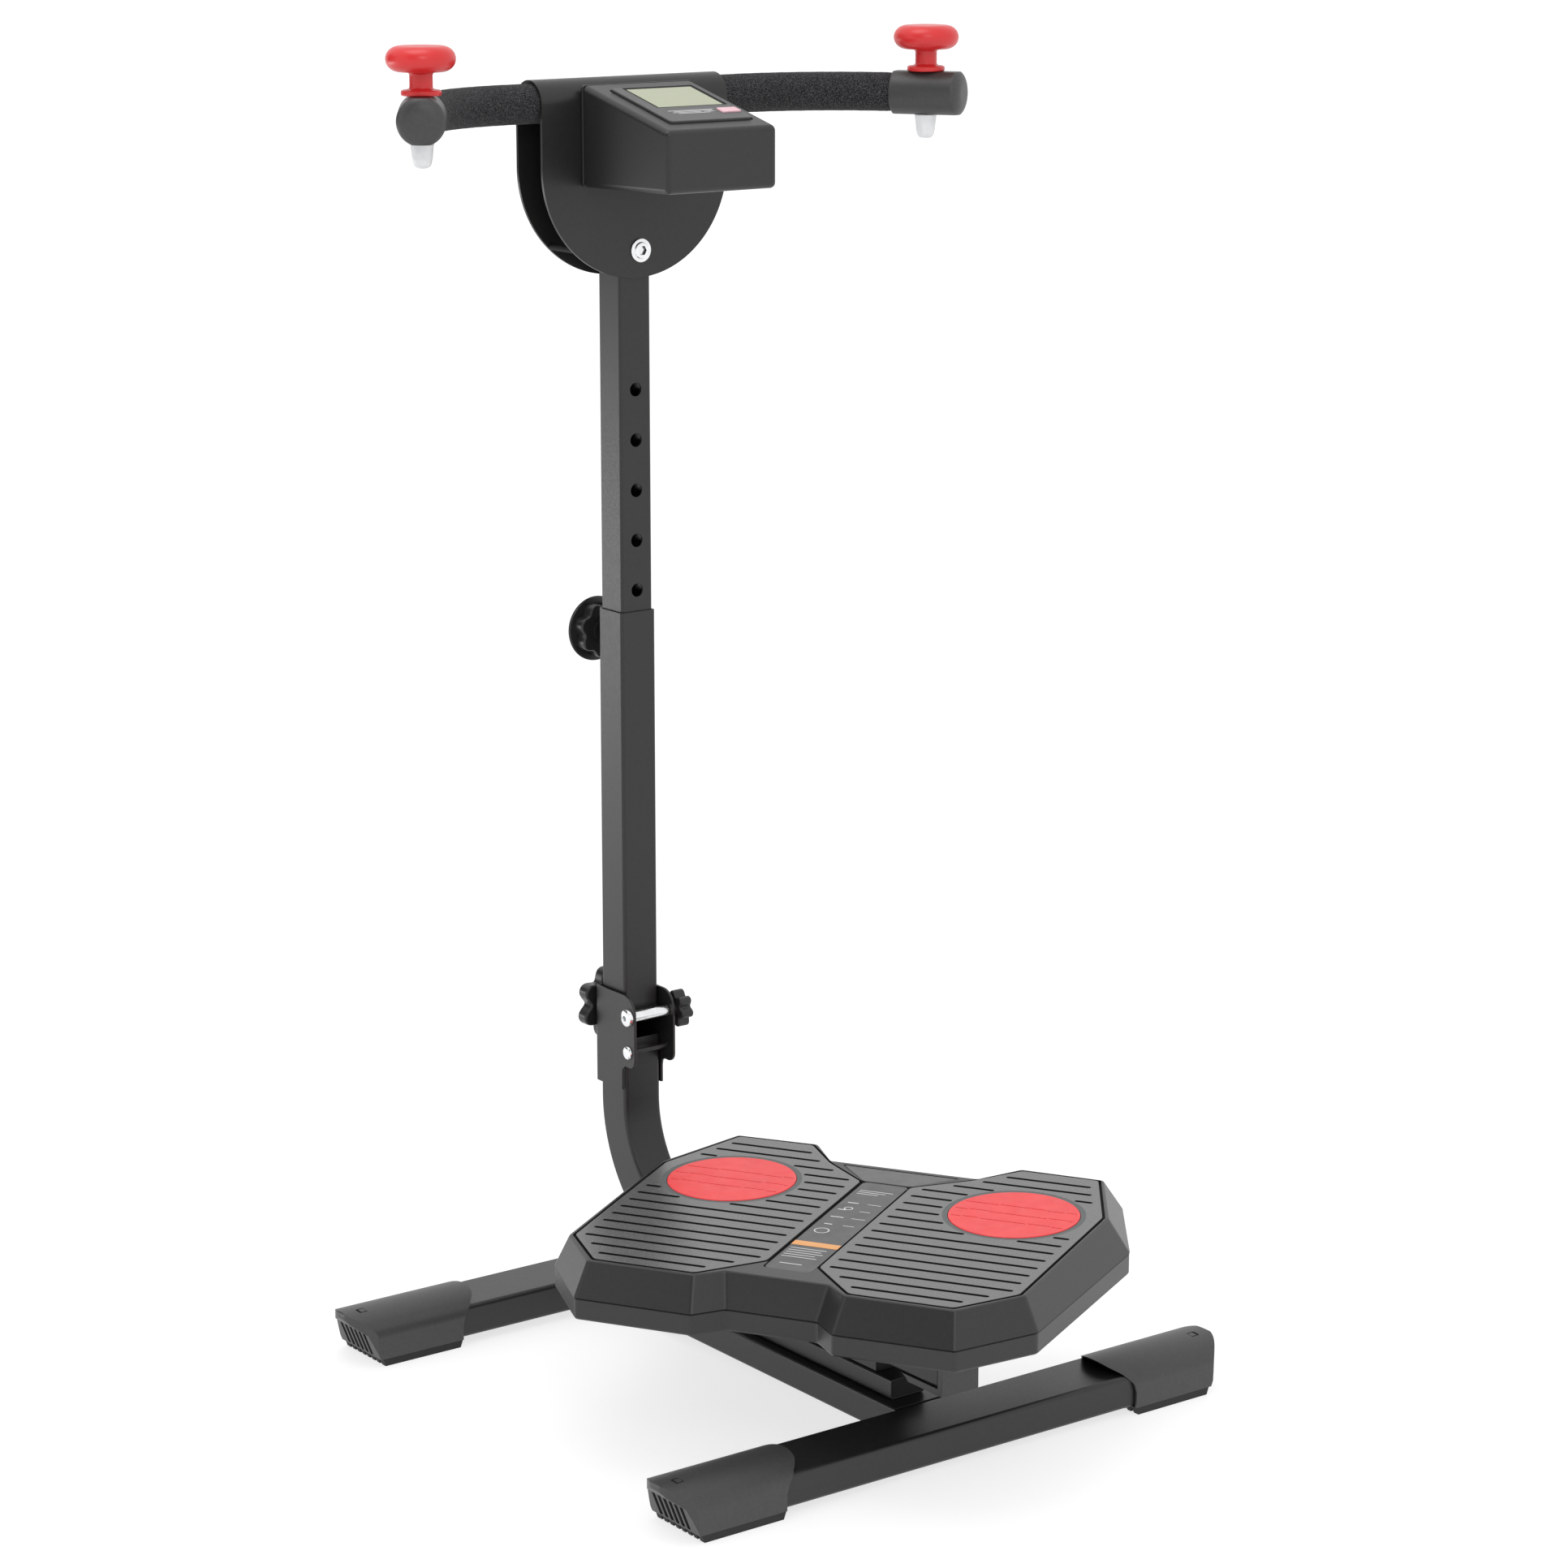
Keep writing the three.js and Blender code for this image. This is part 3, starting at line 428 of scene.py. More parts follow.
class Look:
    """A principled material whose nodes are wired in a few named steps."""

    def __init__(self, name, rough, metal=0.0, specular=0.5):
        self.material = bpy.data.materials.new(name)
        self.material.use_nodes = True
        self.tree = self.material.node_tree
        self.shader = self.tree.nodes["Principled BSDF"]
        self.set(Roughness=rough, Metallic=metal, Specular_IOR_Level=specular)
        self.coord = self.tree.nodes.new("ShaderNodeTexCoord").outputs["Object"]
        self.height = None

    def set(self, **values):
        set_inputs(self.shader, values)

    def add(self, kind, factor=None, source=None, **values):
        """A new node with its values set and, if a factor is given, its input source wired to it."""
        node = self.tree.nodes.new(f"ShaderNode{kind}")
        set_inputs(node, values)
        if factor:
            self.tree.links.new(factor, node.inputs[source])
        return node

    def noise(self, scale, detail, rough=0.55, stretch=None):
        node = self.add("TexNoise", Scale=scale, Detail=detail, Roughness=rough)
        source = self.coord
        if stretch:
            source = self.add("Mapping", source, "Vector", Scale=stretch).outputs["Vector"]
        self.tree.links.new(source, node.inputs["Vector"])
        return node.outputs["Fac"]

    def cells(self, scale):
        return self.add("TexVoronoi", self.coord, "Vector", Scale=scale).outputs["Distance"]

    def ramp(self, factor, stops):
        node = self.add("ValToRGB", factor, "Fac")
        elements = node.color_ramp.elements
        while len(elements) < len(stops):
            elements.new(0.5)
        for element, (place, colour) in zip(elements, stops):
            element.position = place
            element.color = (*colour, 1)
        return node.outputs["Color"]

    def mottle(self, colour, dark, light, factor):
        """The colour, drifting between darker and lighter with the factor."""
        ends = [tuple(c * shade for c in colour) for shade in (dark, light)]
        self.colour(self.ramp(factor, list(zip(MIDRANGE, ends))))

    def uneven(self, factor, low, high):
        """Roughness that drifts between low and high with the factor."""
        ends = {"From_Min": MIDRANGE[0], "From_Max": MIDRANGE[1], "To_Min": low, "To_Max": high}
        socket = self.add("MapRange", factor, "Value", **ends).outputs["Result"]
        self.tree.links.new(socket, self.shader.inputs["Roughness"])

    def colour(self, socket):
        self.tree.links.new(socket, self.shader.inputs["Base Color"])

    def bump(self, socket, strength, distance):
        """Adds one layer of relief; distance in millimetres."""
        node = self.add("Bump", socket, "Height", Strength=strength, Distance=distance * MM)
        if self.height is not None:
            self.tree.links.new(self.height, node.inputs["Normal"])
        self.height = node.outputs["Normal"]
        self.tree.links.new(self.height, self.shader.inputs["Normal"])


def painted(name, colour, rough=0.42):
    """Powder coat: fine orange peel, faint mottling and uneven gloss."""
    look = Look(name, rough)
    look.mottle(colour, 0.86, 1.12, look.noise(260, 5))
    look.uneven(look.noise(420, 4), rough - 0.03, rough + 0.04)
    look.bump(look.noise(900, 2), 0.22, 0.06)
    look.bump(look.noise(240, 2), 0.12, 0.12)
    return look.material


def moulded(name, colour, rough=0.5, grain=1500, depth=0.08):
    """Moulded plastic with a fine spark-eroded grain."""
    look = Look(name, rough)
    look.mottle(colour, 0.9, 1.1, look.noise(300, 4))
    look.uneven(look.noise(500, 3), rough - 0.02, rough + 0.03)
    look.bump(look.cells(grain), 0.35, depth)
    look.bump(look.noise(grain * 1.7, 2), 0.25, depth)
    return look.material


def glossy(name, colour, rough):
    """Smooth moulded plastic with slight flow marks."""
    look = Look(name, rough)
    look.mottle(colour, 0.95, 1.04, look.noise(30, 3))
    look.uneven(look.noise(70, 3), rough - 0.04, rough + 0.05)
    look.bump(look.noise(400, 2), 0.06, 0.05)
    return look.material


def plated(name, colour, rough=0.22, brushed=(1, 1, 1)):
    """Bright metal with faint machining lines."""
    look = Look(name, rough, metal=1.0)
    look.mottle(colour, 0.92, 1.05, look.noise(120, 4))
    look.uneven(look.noise(500, 3, stretch=brushed), rough - 0.05, rough + 0.1)
    look.bump(look.noise(1400, 2, stretch=brushed), 0.1, 0.03)
    return look.material


def foamed(name):
    """Open-cell foam: black, with pale specks where the cut cells catch the light."""
    look = Look(name, 0.95, specular=0.08)
    specks = look.noise(1000, 2, 0.7)
    stops = [
        (0.38, (0.005, 0.005, 0.006)), (0.52, (0.026, 0.026, 0.028)), (0.68, (0.1, 0.1, 0.103)),
    ]
    look.colour(look.ramp(specks, stops))
    look.bump(specks, 0.9, 0.5)
    look.bump(look.cells(420), 0.5, 0.5)
    look.set(Sheen_Weight=0.05, Sheen_Roughness=0.6)
    return look.material


def frosted(name):
    """Milky translucent plastic."""
    look = Look(name, 0.35)
    look.mottle((0.86, 0.87, 0.88), 0.95, 1.08, look.noise(90, 3))
    look.bump(look.noise(500, 2), 0.08, 0.05)
    look.set(Transmission_Weight=0.35, Subsurface_Weight=0.3, Subsurface_Radius=(0.004, 0.004, 0.004))
    return look.material


def display(name):
    """Reflective display: grey green with a hardly visible row structure."""
    look = Look(name, 0.22)
    look.mottle((0.3, 0.33, 0.2), 0.98, 1.02, look.noise(55, 2, stretch=(0.3, 6, 6)))
    look.uneven(look.noise(200, 2), 0.2, 0.27)
    look.set(Coat_Weight=0.25, Coat_Roughness=0.1)
    return look.material


def ground(name):
    """Pale and slightly self-lit, so that it stays plain under the lamps."""
    look = Look(name, 0.7)
    look.mottle(grey(0.3), 1, 0.31 / 0.3, look.noise(0.7, 3))
    look.set(Emission_Color=(1, 1, 1, 1), Emission_Strength=0.72)
    return look.material


PAINT = painted("powder_coat", (0.0125, 0.0122, 0.0118), 0.36)
CAP = moulded("cap_plastic", grey(0.04), 0.42, grain=1600, depth=0.04)
SHELL = moulded("shell_plastic", (0.017, 0.017, 0.0165), 0.36, grain=1500, depth=0.045)
CONSOLE = moulded("console_plastic", (0.014, 0.014, 0.0138), 0.38, grain=2200, depth=0.03)
BEZEL = moulded("bezel_plastic", (0.06, 0.06, 0.062), 0.42, grain=2200, depth=0.03)
MAT = moulded("mat_rubber", (0.1, 0.101, 0.102), 0.25, grain=1900, depth=0.018)
MARGIN = moulded("mat_margin", (0.08, 0.09, 0.09), 0.5, grain=1900, depth=0.04)
# painted shade: near-black for the floors and walls of grooves, pockets and gaps, where shade falls
PAINTED_SHADE = moulded("painted_shade_black", grey(0.002), 0.85)
FOOT = moulded("foot_rubber", grey(0.012), 0.7, grain=1400)
KNOB = moulded("knob_plastic", grey(0.012), 0.32, grain=1800, depth=0.03)
RED = glossy("massage_red", (0.8, 0.032, 0.036), 0.42)
KNOB_RED = glossy("knob_red", (0.6, 0.02, 0.022), 0.32)
# painted shade: a darker red for the floors of the pads' grooves
RED_GROOVE_SHADE = glossy("massage_red_groove_shade", (0.4, 0.01, 0.016), 0.5)
ZINC = plated("zinc_plate", (0.86, 0.87, 0.88), 0.2)
STEEL = plated("bright_steel", (0.56, 0.57, 0.58), 0.3, brushed=(1, 12, 12))
FOAM = foamed("grip_foam")
FROST = frosted("frosted_tip")
SCREEN = display("display")
PINK = glossy("button_pink", (0.72, 0.44, 0.5), 0.4)
LABEL = glossy("label_film", (0.05, 0.05, 0.053), 0.34)
PLATE = glossy("back_plate_film", (0.08, 0.08, 0.083), 0.35)
PRINT = glossy("label_print", grey(0.66), 0.5)
ORANGE = glossy("label_bar", (0.74, 0.34, 0.11), 0.45)
# near-black: the screen frame's own colour, and painted shade on the saddle ties and in the bolt's
# socket
BLACK_TRIM_AND_SHADE = moulded("black_trim_and_painted_shade", grey(0.003), 0.8)


# ---- floor frame ----
def square_tube(node, axis, wall, outer_r, inner_r):
    """A square tube in a node's place; the upright ones stand round the post's axis."""
    lo, hi = span(node)
    mid = middle(node)
    width, height, at = {
        "x": (hi.y - lo.y, hi.z - lo.z, (0, mid.y, mid.z)),
        "y": (hi.x - lo.x, hi.z - lo.z, (0, mid.y, mid.z)),
        "z": (hi.x - lo.x, hi.x - lo.x, (0, POST_Y, 0)),
    }[axis]
    outer = rounded_rect(width, height, outer_r)
    core = rounded_rect(width - 2 * wall, height - 2 * wall, inner_r)
    return solid(tube(straight(axis, getattr(lo, axis), getattr(hi, axis), at), outer, core))


def make_base():
    for node, axis, wall, outer_r, inner_r in (
        ("front_stabiliser", "x", 2, 4.5, 2.5),
        ("rear_stabiliser", "x", 2, 4.5, 2.5),
        ("base_beam", "y", 1.8, 3.2, 1.4),
        ("base_rail", "y", 1.8, 2.6, 0.8),
    ):
        bar = square_tube(node, axis, wall, outer_r, inner_r)
        stand_in(soften(bar, 0.5, 2, 50), node, "frame", PAINT)
    lo, hi = span("base_rail")
    plan = rounded_rect(hi.x - lo.x - 3.7, hi.z - lo.z - 3.7, 1, 3)
    plan = shifted(plan, 0, (lo.z + hi.z) / 2)
    ends = ((lo.y + 0.6, lo.y + 4), (hi.y - 4, hi.y - 0.6))
    plugs = merged(*(prism("y", plan, y0, y1) for y0, y1 in ends))
    piece(solid(plugs), "base_rail_plugs", "frame", FOOT)
    for node in ("arm_spacer_front", "arm_spacer_rear"):
        lo, hi = span(node)
        plan = rounded_rect(hi.x - lo.x, hi.z - lo.z, 1.5, 3)
        block = solid(tube(straight("y", lo.y, hi.y, (0, 0, (lo.z + hi.z) / 2)), plan))
        stand_in(block, node, "frame", PAINT)


ARM_RADIUS = 128
ARM_SIZE = 44


def make_arm():
    lo, hi = span("arm_tube")
    low_z = lo.z + ARM_SIZE / 2
    run = POST_Y - ARM_RADIUS - lo.y
    parts = [(run,), (ARM_RADIUS, 90, 36), (hi.z - low_z - ARM_RADIUS,)]
    path = bent((0, lo.y, low_z), Vector((0, 1, 0)), Vector((0, 0, 1)), parts)
    outer = rounded_rect(ARM_SIZE, ARM_SIZE, 4.5)
    core = rounded_rect(ARM_SIZE - 4, ARM_SIZE - 4, 2.5)
    arm = soften(solid(tube(path, outer, core)), 0.5, 2, 50)
    stand_in(arm, "arm_tube", "frame", PAINT)

    lo, hi = span("arm_end_cap")
    under, flange = low_z - 22.3, lo.y + 6.7
    side = [
        (lo.y, lo.z), (hi.y - 13.5, lo.z), (hi.y - 10.5, lo.z + 3.5), (hi.y - 6, lo.z + 5.8),
        (hi.y, under), (flange, under), (flange, hi.z), (lo.y, hi.z),
    ]
    cap = soften(solid(prism("x", side, lo.x, hi.x)), 1.4, 3, 40)
    stand_in(cap, "arm_end_cap", "frame", CAP)


CAP_HALF = 37.5
CAP_SHOULDER = 30
CAP_INNER = 210  # where the cap's lower half starts
CAP_FOOT = 307  # how far the cap reaches at its lower edge
CAP_BROW = (317, 33)  # where its end starts to bulge over the louvres
LOUVRES = 6
LOUVRE_PITCH = 8.6


def cap_plan(half, tip, bulge=23, steps=20):
    points = [(160, half), (160, -half)]
    for i in range(steps + 1):
        t = 2 * i / steps - 1
        points.append((tip - bulge * t * t, half * t))
    return points


def cap_block(half, z0, shoulder, top, x0, side, plan):
    """An arched bar, cut to its outlines from the side and from above."""
    arch = [(-half, z0), (half, z0)] + arc(0, shoulder, half, 0, 180, 32, top - shoulder)
    bar = solid(prism("x", arch, x0, 350))
    keep(bar, prism("y", side, -60, 60))
    return keep(bar, prism("z", plan, -10, 80))


def foot_cap_solid():
    """One cap in its own place: X outwards along the stabiliser, Y across it from its middle."""
    lo, hi = span("foot_cap_front_right")
    low, top, tip = lo.z, hi.z, hi.x
    brow_x, brow_z = CAP_BROW
    outside = [
        (CAP_INNER, low), (CAP_FOOT, low), (brow_x, brow_z), (tip - 3, top - 10),
        (tip - 0.8, top - 6.5), (tip, top - 4), (tip - 1.2, top - 1), (tip - 4, top + 2),
        (lo.x, top + 2), (lo.x + 5, top - 3), (lo.x + 14, top - 9),
        (CAP_INNER - 3, CAP_SHOULDER + 3), (CAP_INNER, CAP_SHOULDER - 6),
    ]
    body = cap_block(CAP_HALF, low, CAP_SHOULDER, top, 165, outside, cap_plan(CAP_HALF + 1, tip))
    soften(body, 1.3, 3, 24)
    inside = [
        (150, -5), (CAP_FOOT - 6, -5), (brow_x - 4, brow_z), (tip - 6, top - 6), (tip, top + 8),
        (150, top + 8),
    ]
    carve(body, taken_back(cap_block(CAP_HALF - 2.3, low - 5, CAP_SHOULDER + 0.5, top - 2.4, 150,
                                     inside, cap_plan(CAP_HALF, tip - 3.5))))
    slots = []
    for i in range(LOUVRES):
        y = (i - (LOUVRES - 1) / 2) * LOUVRE_PITCH
        slot = shifted(rounded_rect(5.2, 23.5, 1.2, 3), y, 21.3)
        slots.append(prism("x", slot, CAP_FOOT - 15, 350))
    carve(body, merged(*slots))
    latch = shifted(rounded_rect(9, 9, 0.8, 2), tip - 21, -6)
    tongue = shifted(rounded_rect(6, 6.4, 0.6, 2), tip - 22, -6)
    groove = carve(solid(prism("z", latch, top - 1.7, top + 5)), prism("z", tongue, top - 6, top + 9))
    return carve(body, taken_back(groove))


def foot_pad_solid():
    """A rubber pad with ribs that run along the stabiliser."""
    lo, hi = span("foot_pad_front_right")
    half = (hi.y - lo.y) / 2
    pitch = 2 * half / 8
    comb = [(half, hi.z), (-half, hi.z), (-half, 0.6), (-half + 0.6, 0)]
    notch = [(-2.3, 0), (-1.8, 0.5), (-1.5, 4.5), (1.5, 4.5), (1.8, 0.5), (2.3, 0)]
    for i in range(1, 8):
        comb += shifted(notch, i * pitch - half, 0)
    comb += [(half - 0.6, 0), (half, 0.6)]
    pad = solid(prism("x", comb, lo.x - 5, hi.x + 5))
    ends = [(lo.x + 3.5, -1), (hi.x - 3.5, -1), (hi.x, hi.z + 1), (lo.x, hi.z + 1)]
    return keep(pad, prism("y", ends, -60, 60))


def make_feet():
    for kind, maker, look in (("foot_cap", foot_cap_solid, CAP), ("foot_pad", foot_pad_solid, FOOT)):
        for end, y in (("front", FRONT_Y), ("rear", REAR_Y)):
            for hand, ob in twins(maker(), Matrix.Translation((0, y * MM, 0))):
                stand_in(ob, f"{kind}_{end}_{hand}", "frame", look, angle=28)


def make_bracket():
    """A U of sheet steel, open to the front, with rounded corners on its cheeks."""
    lo, hi = span("fold_bracket")
    front, rear = lo.y, hi.y
    wall = 3
    plan, core = (
        softened([(-x, y0), (-x, y1), (x, y1), (x, y0)], radius)
        for x, y0, y1, radius in (
            (hi.x, front - 5, rear, 3.5), (hi.x - wall, front - 20, rear - wall, 1.5))
    )
    body = solid(prism("z", plan, lo.z, hi.z))
    carve(body, prism("z", core, lo.z - 5, hi.z + 5))
    cheek = [(rear + 5, lo.z), (rear + 5, hi.z), (front + 21, hi.z)]
    cheek += arc(front + 20, hi.z - 20, 20, 90, 90, 9)[1:9]
    cheek += [(front, hi.z - 25), (front, lo.z + 36)]
    cheek += arc(front + 9, lo.z + 35, 9, 180, 90, 6)[1:]
    cheek += shifted([(17, 26), (21, 23), (22, 18), (22, 0)], front, lo.z)
    keep(body, prism("x", cheek, -60, 60))
    carve(body, cylinder("x", 4.0, -60, 60, (FOLD.y, FOLD.z)))
    carve(body, cylinder("x", 2.8, -60, 60, (STOP.y, STOP.z)))
    carve(body, cylinder("y", 4.6, rear - 20, rear + 20, (0, SCREW.z)))
    stand_in(soften(body, 0.7, 2, 40), "fold_bracket", "frame", PAINT)


def headed(node, axis, head, chamfer, centre, count=48):
    """A bolt in a node's place: the profile of its head from the outer face, then its shank."""
    start, end = (getattr(corner, axis) for corner in span(node))
    shank = head[-1][0]
    tail = [(shank, end - chamfer), (shank - chamfer, end), (0, end)]
    return solid(turned(axis, shifted(head, 0, start) + tail, centre, count))


def make_pins():
    centre = (FOLD.y, FOLD.z)
    left = span("pivot_bolt")[0].x
    head = [(0, 0.2), (3, 0), (6.5, 0.5), (8.4, 1.5), (9.2, 3), (9.3, 4.5), (3.7, 4.5)]
    bolt = headed("pivot_bolt", "x", head, 0.5, centre)
    carve(bolt, prism("x", ring(3.3, 6, centre), left - 3, left + 2.6))
    stand_in(soften(bolt, 0.3, 2, 40), "pivot_bolt", "frame", ZINC)

    head = [(0, 0.1), (3, 0), (5.4, 0.5), (6.6, 1.4), (7, 2.4), (7, 3), (2.5, 3.01)]
    pin = headed("stop_pin", "x", head, 0.4, (STOP.y, STOP.z))
    neck = span("stop_pin")[0].x + 3.005
    paint_faces(pin, [ZINC, PAINT], lambda face: 0 if face.center.x / MM < neck else 1)
    stand_in(pin, "stop_pin", "frame", ZINC)


def make_turntable():
    dress("turntable_base", PAINT)
    dress("turntable_top", PAINT, 40)
    dress("turntable_bearing", STEEL, 40)
    dress("pivot_shaft", STEEL, 40)


# ---- platform ----
# Outlines in the platform's own frame: the deck's edge, the widest line and the right mat.
RIM = mirrored([
    (51, -192), (74, -213), (181, -213), (227, -152), (233, 81), (194, 188), (108, 190), (77, 146),
])
SEAM = mirrored([
    (45, -206), (69, -231), (187, -230), (241, -157), (255, 79), (209, 203), (101, 205), (71, 163),
])
MAT_OUTLINE = [
    (26.2, -151), (76, -206.5), (177, -206.5), (221, -151), (227, 79), (190, 183), (111, 184),
    (75, 138), (26.2, 95),
]
CHANNEL = [(24.2, -168), (24.2, 97), (62, 139), (-62, 139), (-24.2, 97), (-24.2, -168)]
PAD = {"x": 146, "y": 55, "rx": 63, "ry": 67}
ROWS = {"first": 160, "pitch": 21.85, "count": 17, "width": 5, "depth": 1.6}
POCKET = 3.0  # depth of the pockets that the mats lie in
PAD_CLEAR = 8  # from the massage pad to the ends of the grooves
SHORTEST_GROOVE = 14


def flat_loft(layers):
    return skin([[(x, y, z) for x, y in points] for points, z in layers])


def soft_loft(layers, radius=3):
    return flat_loft([(softened(points, radius), z) for points, z in layers])


def local(geometry):
    """Geometry drawn in the platform's own frame, brought to its place."""
    return moved(PLATFORM, geometry)


def make_shell():
    layers = [
        (inset(SEAM, 1.0), SEAM_Z), (SEAM, SEAM_Z + 0.9), (inset(RIM, -0.9), DECK_Z - 2.4),
        (inset(RIM, 0.1), DECK_Z - 0.8), (inset(RIM, 1.3), DECK_Z - 0.1), (inset(RIM, 2.3), DECK_Z),
    ]
    body = solid(local(soft_loft(layers)))
    floor = DECK_Z - POCKET
    for side in (MAT_OUTLINE, flipped(MAT_OUTLINE)):
        carve(body, local(prism("z", softened(inset(side, -2.6), 2.5), floor, DECK_Z + 5)))
    carve(body, local(prism("z", softened(CHANNEL, 5), DECK_Z - 2.2, DECK_Z + 5)))
    soften(body, 0.45, 2, 50)
    deck = inset(RIM, 2.5)
    reach = max(math.hypot(x, y) for x, y in deck)

    def kind(face):
        """Painted shade: the floors and walls of the pockets are painted near-black."""
        x, y, z = face.center / MM
        if not DECK_Z - 4 < z < DECK_Z - 0.7 or math.hypot(x, y - PIVOT_Y) >= reach:
            return 0
        if z < floor + 0.3:
            return 1
        spot = PLATFORM.inverted() @ Vector((x, y, 0))
        within = sum(spot.x < cross for cross in crossings(deck, spot.y)) % 2
        return within if abs(face.normal.z) < 0.5 else 0

    paint_faces(body, [SHELL, PAINTED_SHADE], kind)
    stand_in(body, "platform_shell", "platform", SHELL, angle=26)


def make_tray():
    top = SEAM_Z - GAP
    outer = inset(SEAM, 0.5)
    layers = [
        (inset(outer, 2.6), TRAY_Z), (inset(outer, 1.0), TRAY_Z + 0.6), (outer, TRAY_Z + 2.2),
        (outer, top - 0.8), (inset(outer, 0.8), top),
    ]
    body = solid(local(soft_loft(layers)))
    well = inset(SEAM, 4)
    carve(body, local(prism("z", well, TRAY_Z + 3, top + 5)))
    carve(body, cylinder("z", 30, TRAY_Z - 5, TRAY_Z + 8, (0, PIVOT_Y)))
    pans = []
    for side in (-1, 1):
        for wide, y0, y1 in ((165, -180, -105), (190, -95, -20), (190, 60, 110)):
            plan = [(side * x, y) for x, y in rect(85, wide, y0, y1)]
            pans.append(prism("z", softened(plan, 12), TRAY_Z - 5, TRAY_Z + 1.2))
    carve(body, local(merged(*pans)))
    stand_in(body, "platform_tray", "platform", SHELL, angle=26)


def groove_spans(y):
    """Where one row of the mat is grooved, left out round the massage pad."""
    hits = crossings(inset(MAT_OUTLINE, 8), y)
    low, high = min(hits), max(hits)
    rise = (y - PAD["y"]) / (PAD["ry"] + PAD_CLEAR)
    if abs(rise) >= 1:
        return [(low, high)]
    half = (PAD["rx"] + PAD_CLEAR) * math.sqrt(1 - rise * rise)
    spans = [(low, PAD["x"] - half), (PAD["x"] + half, high)]
    return [(a, b) for a, b in spans if b - a > SHORTEST_GROOVE]


def capsule(x0, x1, y, width, steps=5):
    r = width / 2
    return arc(x1 - r, y, r, -90, 180, steps) + arc(x0 + r, y, r, 90, 180, steps)


def pad_ring(extra, side=1):
    """The massage pad's outline, wider by extra."""
    return ring(PAD["rx"] + extra, 96, (side * PAD["x"], PAD["y"]), PAD["ry"] + extra)


def make_mats():
    floor = DECK_Z - POCKET + GAP
    layers = [
        (MAT_OUTLINE, floor), (MAT_OUTLINE, MAT_TOP - 0.6), (inset(MAT_OUTLINE, 0.2), MAT_TOP - 0.15),
        (inset(MAT_OUTLINE, 0.7), MAT_TOP),
    ]
    slots = []
    for i in range(ROWS["count"]):
        y = ROWS["first"] - ROWS["pitch"] * i
        for x0, x1 in groove_spans(y):
            plan = capsule(x0, x1, y, ROWS["width"])
            slots.append(prism("z", plan, MAT_TOP - ROWS["depth"], MAT_TOP + 3))
    margin = 5.5  # width of the smooth band round the massage pad

    # Painted shade: the mat's sides and the floors and walls of its grooves and of the pad's hole are
    # near-black; the smooth band round the pad keeps its own grey.
    def kind(face):
        x, y, z = face.center / MM
        if floor + 0.2 < z < MAT_TOP - 0.3:
            return 1
        across, along = (x - PAD["x"]) / (PAD["rx"] + margin), (y - PAD["y"]) / (PAD["ry"] + margin)
        return 2 if z < MAT_TOP - 0.05 and across ** 2 + along ** 2 < 1 else 0

    first = solid(soft_loft(layers, 4))
    carve(first, merged(*slots))
    carve(first, prism("z", pad_ring(0.5), MAT_TOP - 1.4, MAT_TOP + 3))
    carve(first, prism("z", pad_ring(margin), MAT_TOP - 0.12, MAT_TOP + 3))
    paint_faces(first, [MAT, PAINTED_SHADE, MARGIN], kind)
    place = Matrix.Translation((0, PIVOT_Y * MM, 0)) @ Matrix.Rotation(YAW, 4, "Z")
    for hand, ob in twins(first, place):
        stand_in(ob, f"mat_{hand}", "platform", MAT, angle=20)


def make_pads():
    """Red discs with a rounded rim and three broken grooves."""
    top = span("massage_pad_left")[1].z
    layers = [(0, MAT_TOP - 1.1), (0, top - 0.7), (-0.15, top - 0.35), (-0.5, top - 0.1), (-1.1, top)]
    pitch = ROWS["pitch"]
    rows = ((pitch, (-22, 26, 45)), (0, (-46, -26, 34, 54)), (-pitch, (-46, -28, 20, 44)))
    for hand, side in HANDS:
        disc = solid(local(flat_loft([(pad_ring(extra, side), z) for extra, z in layers])))
        lines = []
        for row, breaks in rows:
            half = (PAD["rx"] - 3) * math.sqrt(1 - (row / PAD["ry"]) ** 2)
            stops = [side * PAD["x"] + stop for stop in (-half, *breaks, half)]
            for k, (a, b) in enumerate(zip(stops, stops[1:])):
                y = PAD["y"] + row + (0.7 if k % 2 else -0.7)
                if b - a > 3:
                    lines.append(prism("z", capsule(a + 0.6, b - 0.6, y, 1.3), top - 0.5, top + 3))
        carve(disc, local(merged(*lines)))
        # Painted shade: the floors of the pad's grooves are a darker red.
        paint_faces(disc, [RED, RED_GROOVE_SHADE], lambda face: (
            1 if face.center.z / MM < top - 0.2 and face.normal.z > 0.9 else 0))
        stand_in(disc, f"massage_pad_{hand}", "platform", RED, angle=26)


def bars(rows, z, thick=0.12):
    """Small flat strokes (x0, x1, y0, y1) lying on a film, as one piece of geometry."""
    return merged(*(prism("z", rect(*row), z, z + thick) for row in rows))


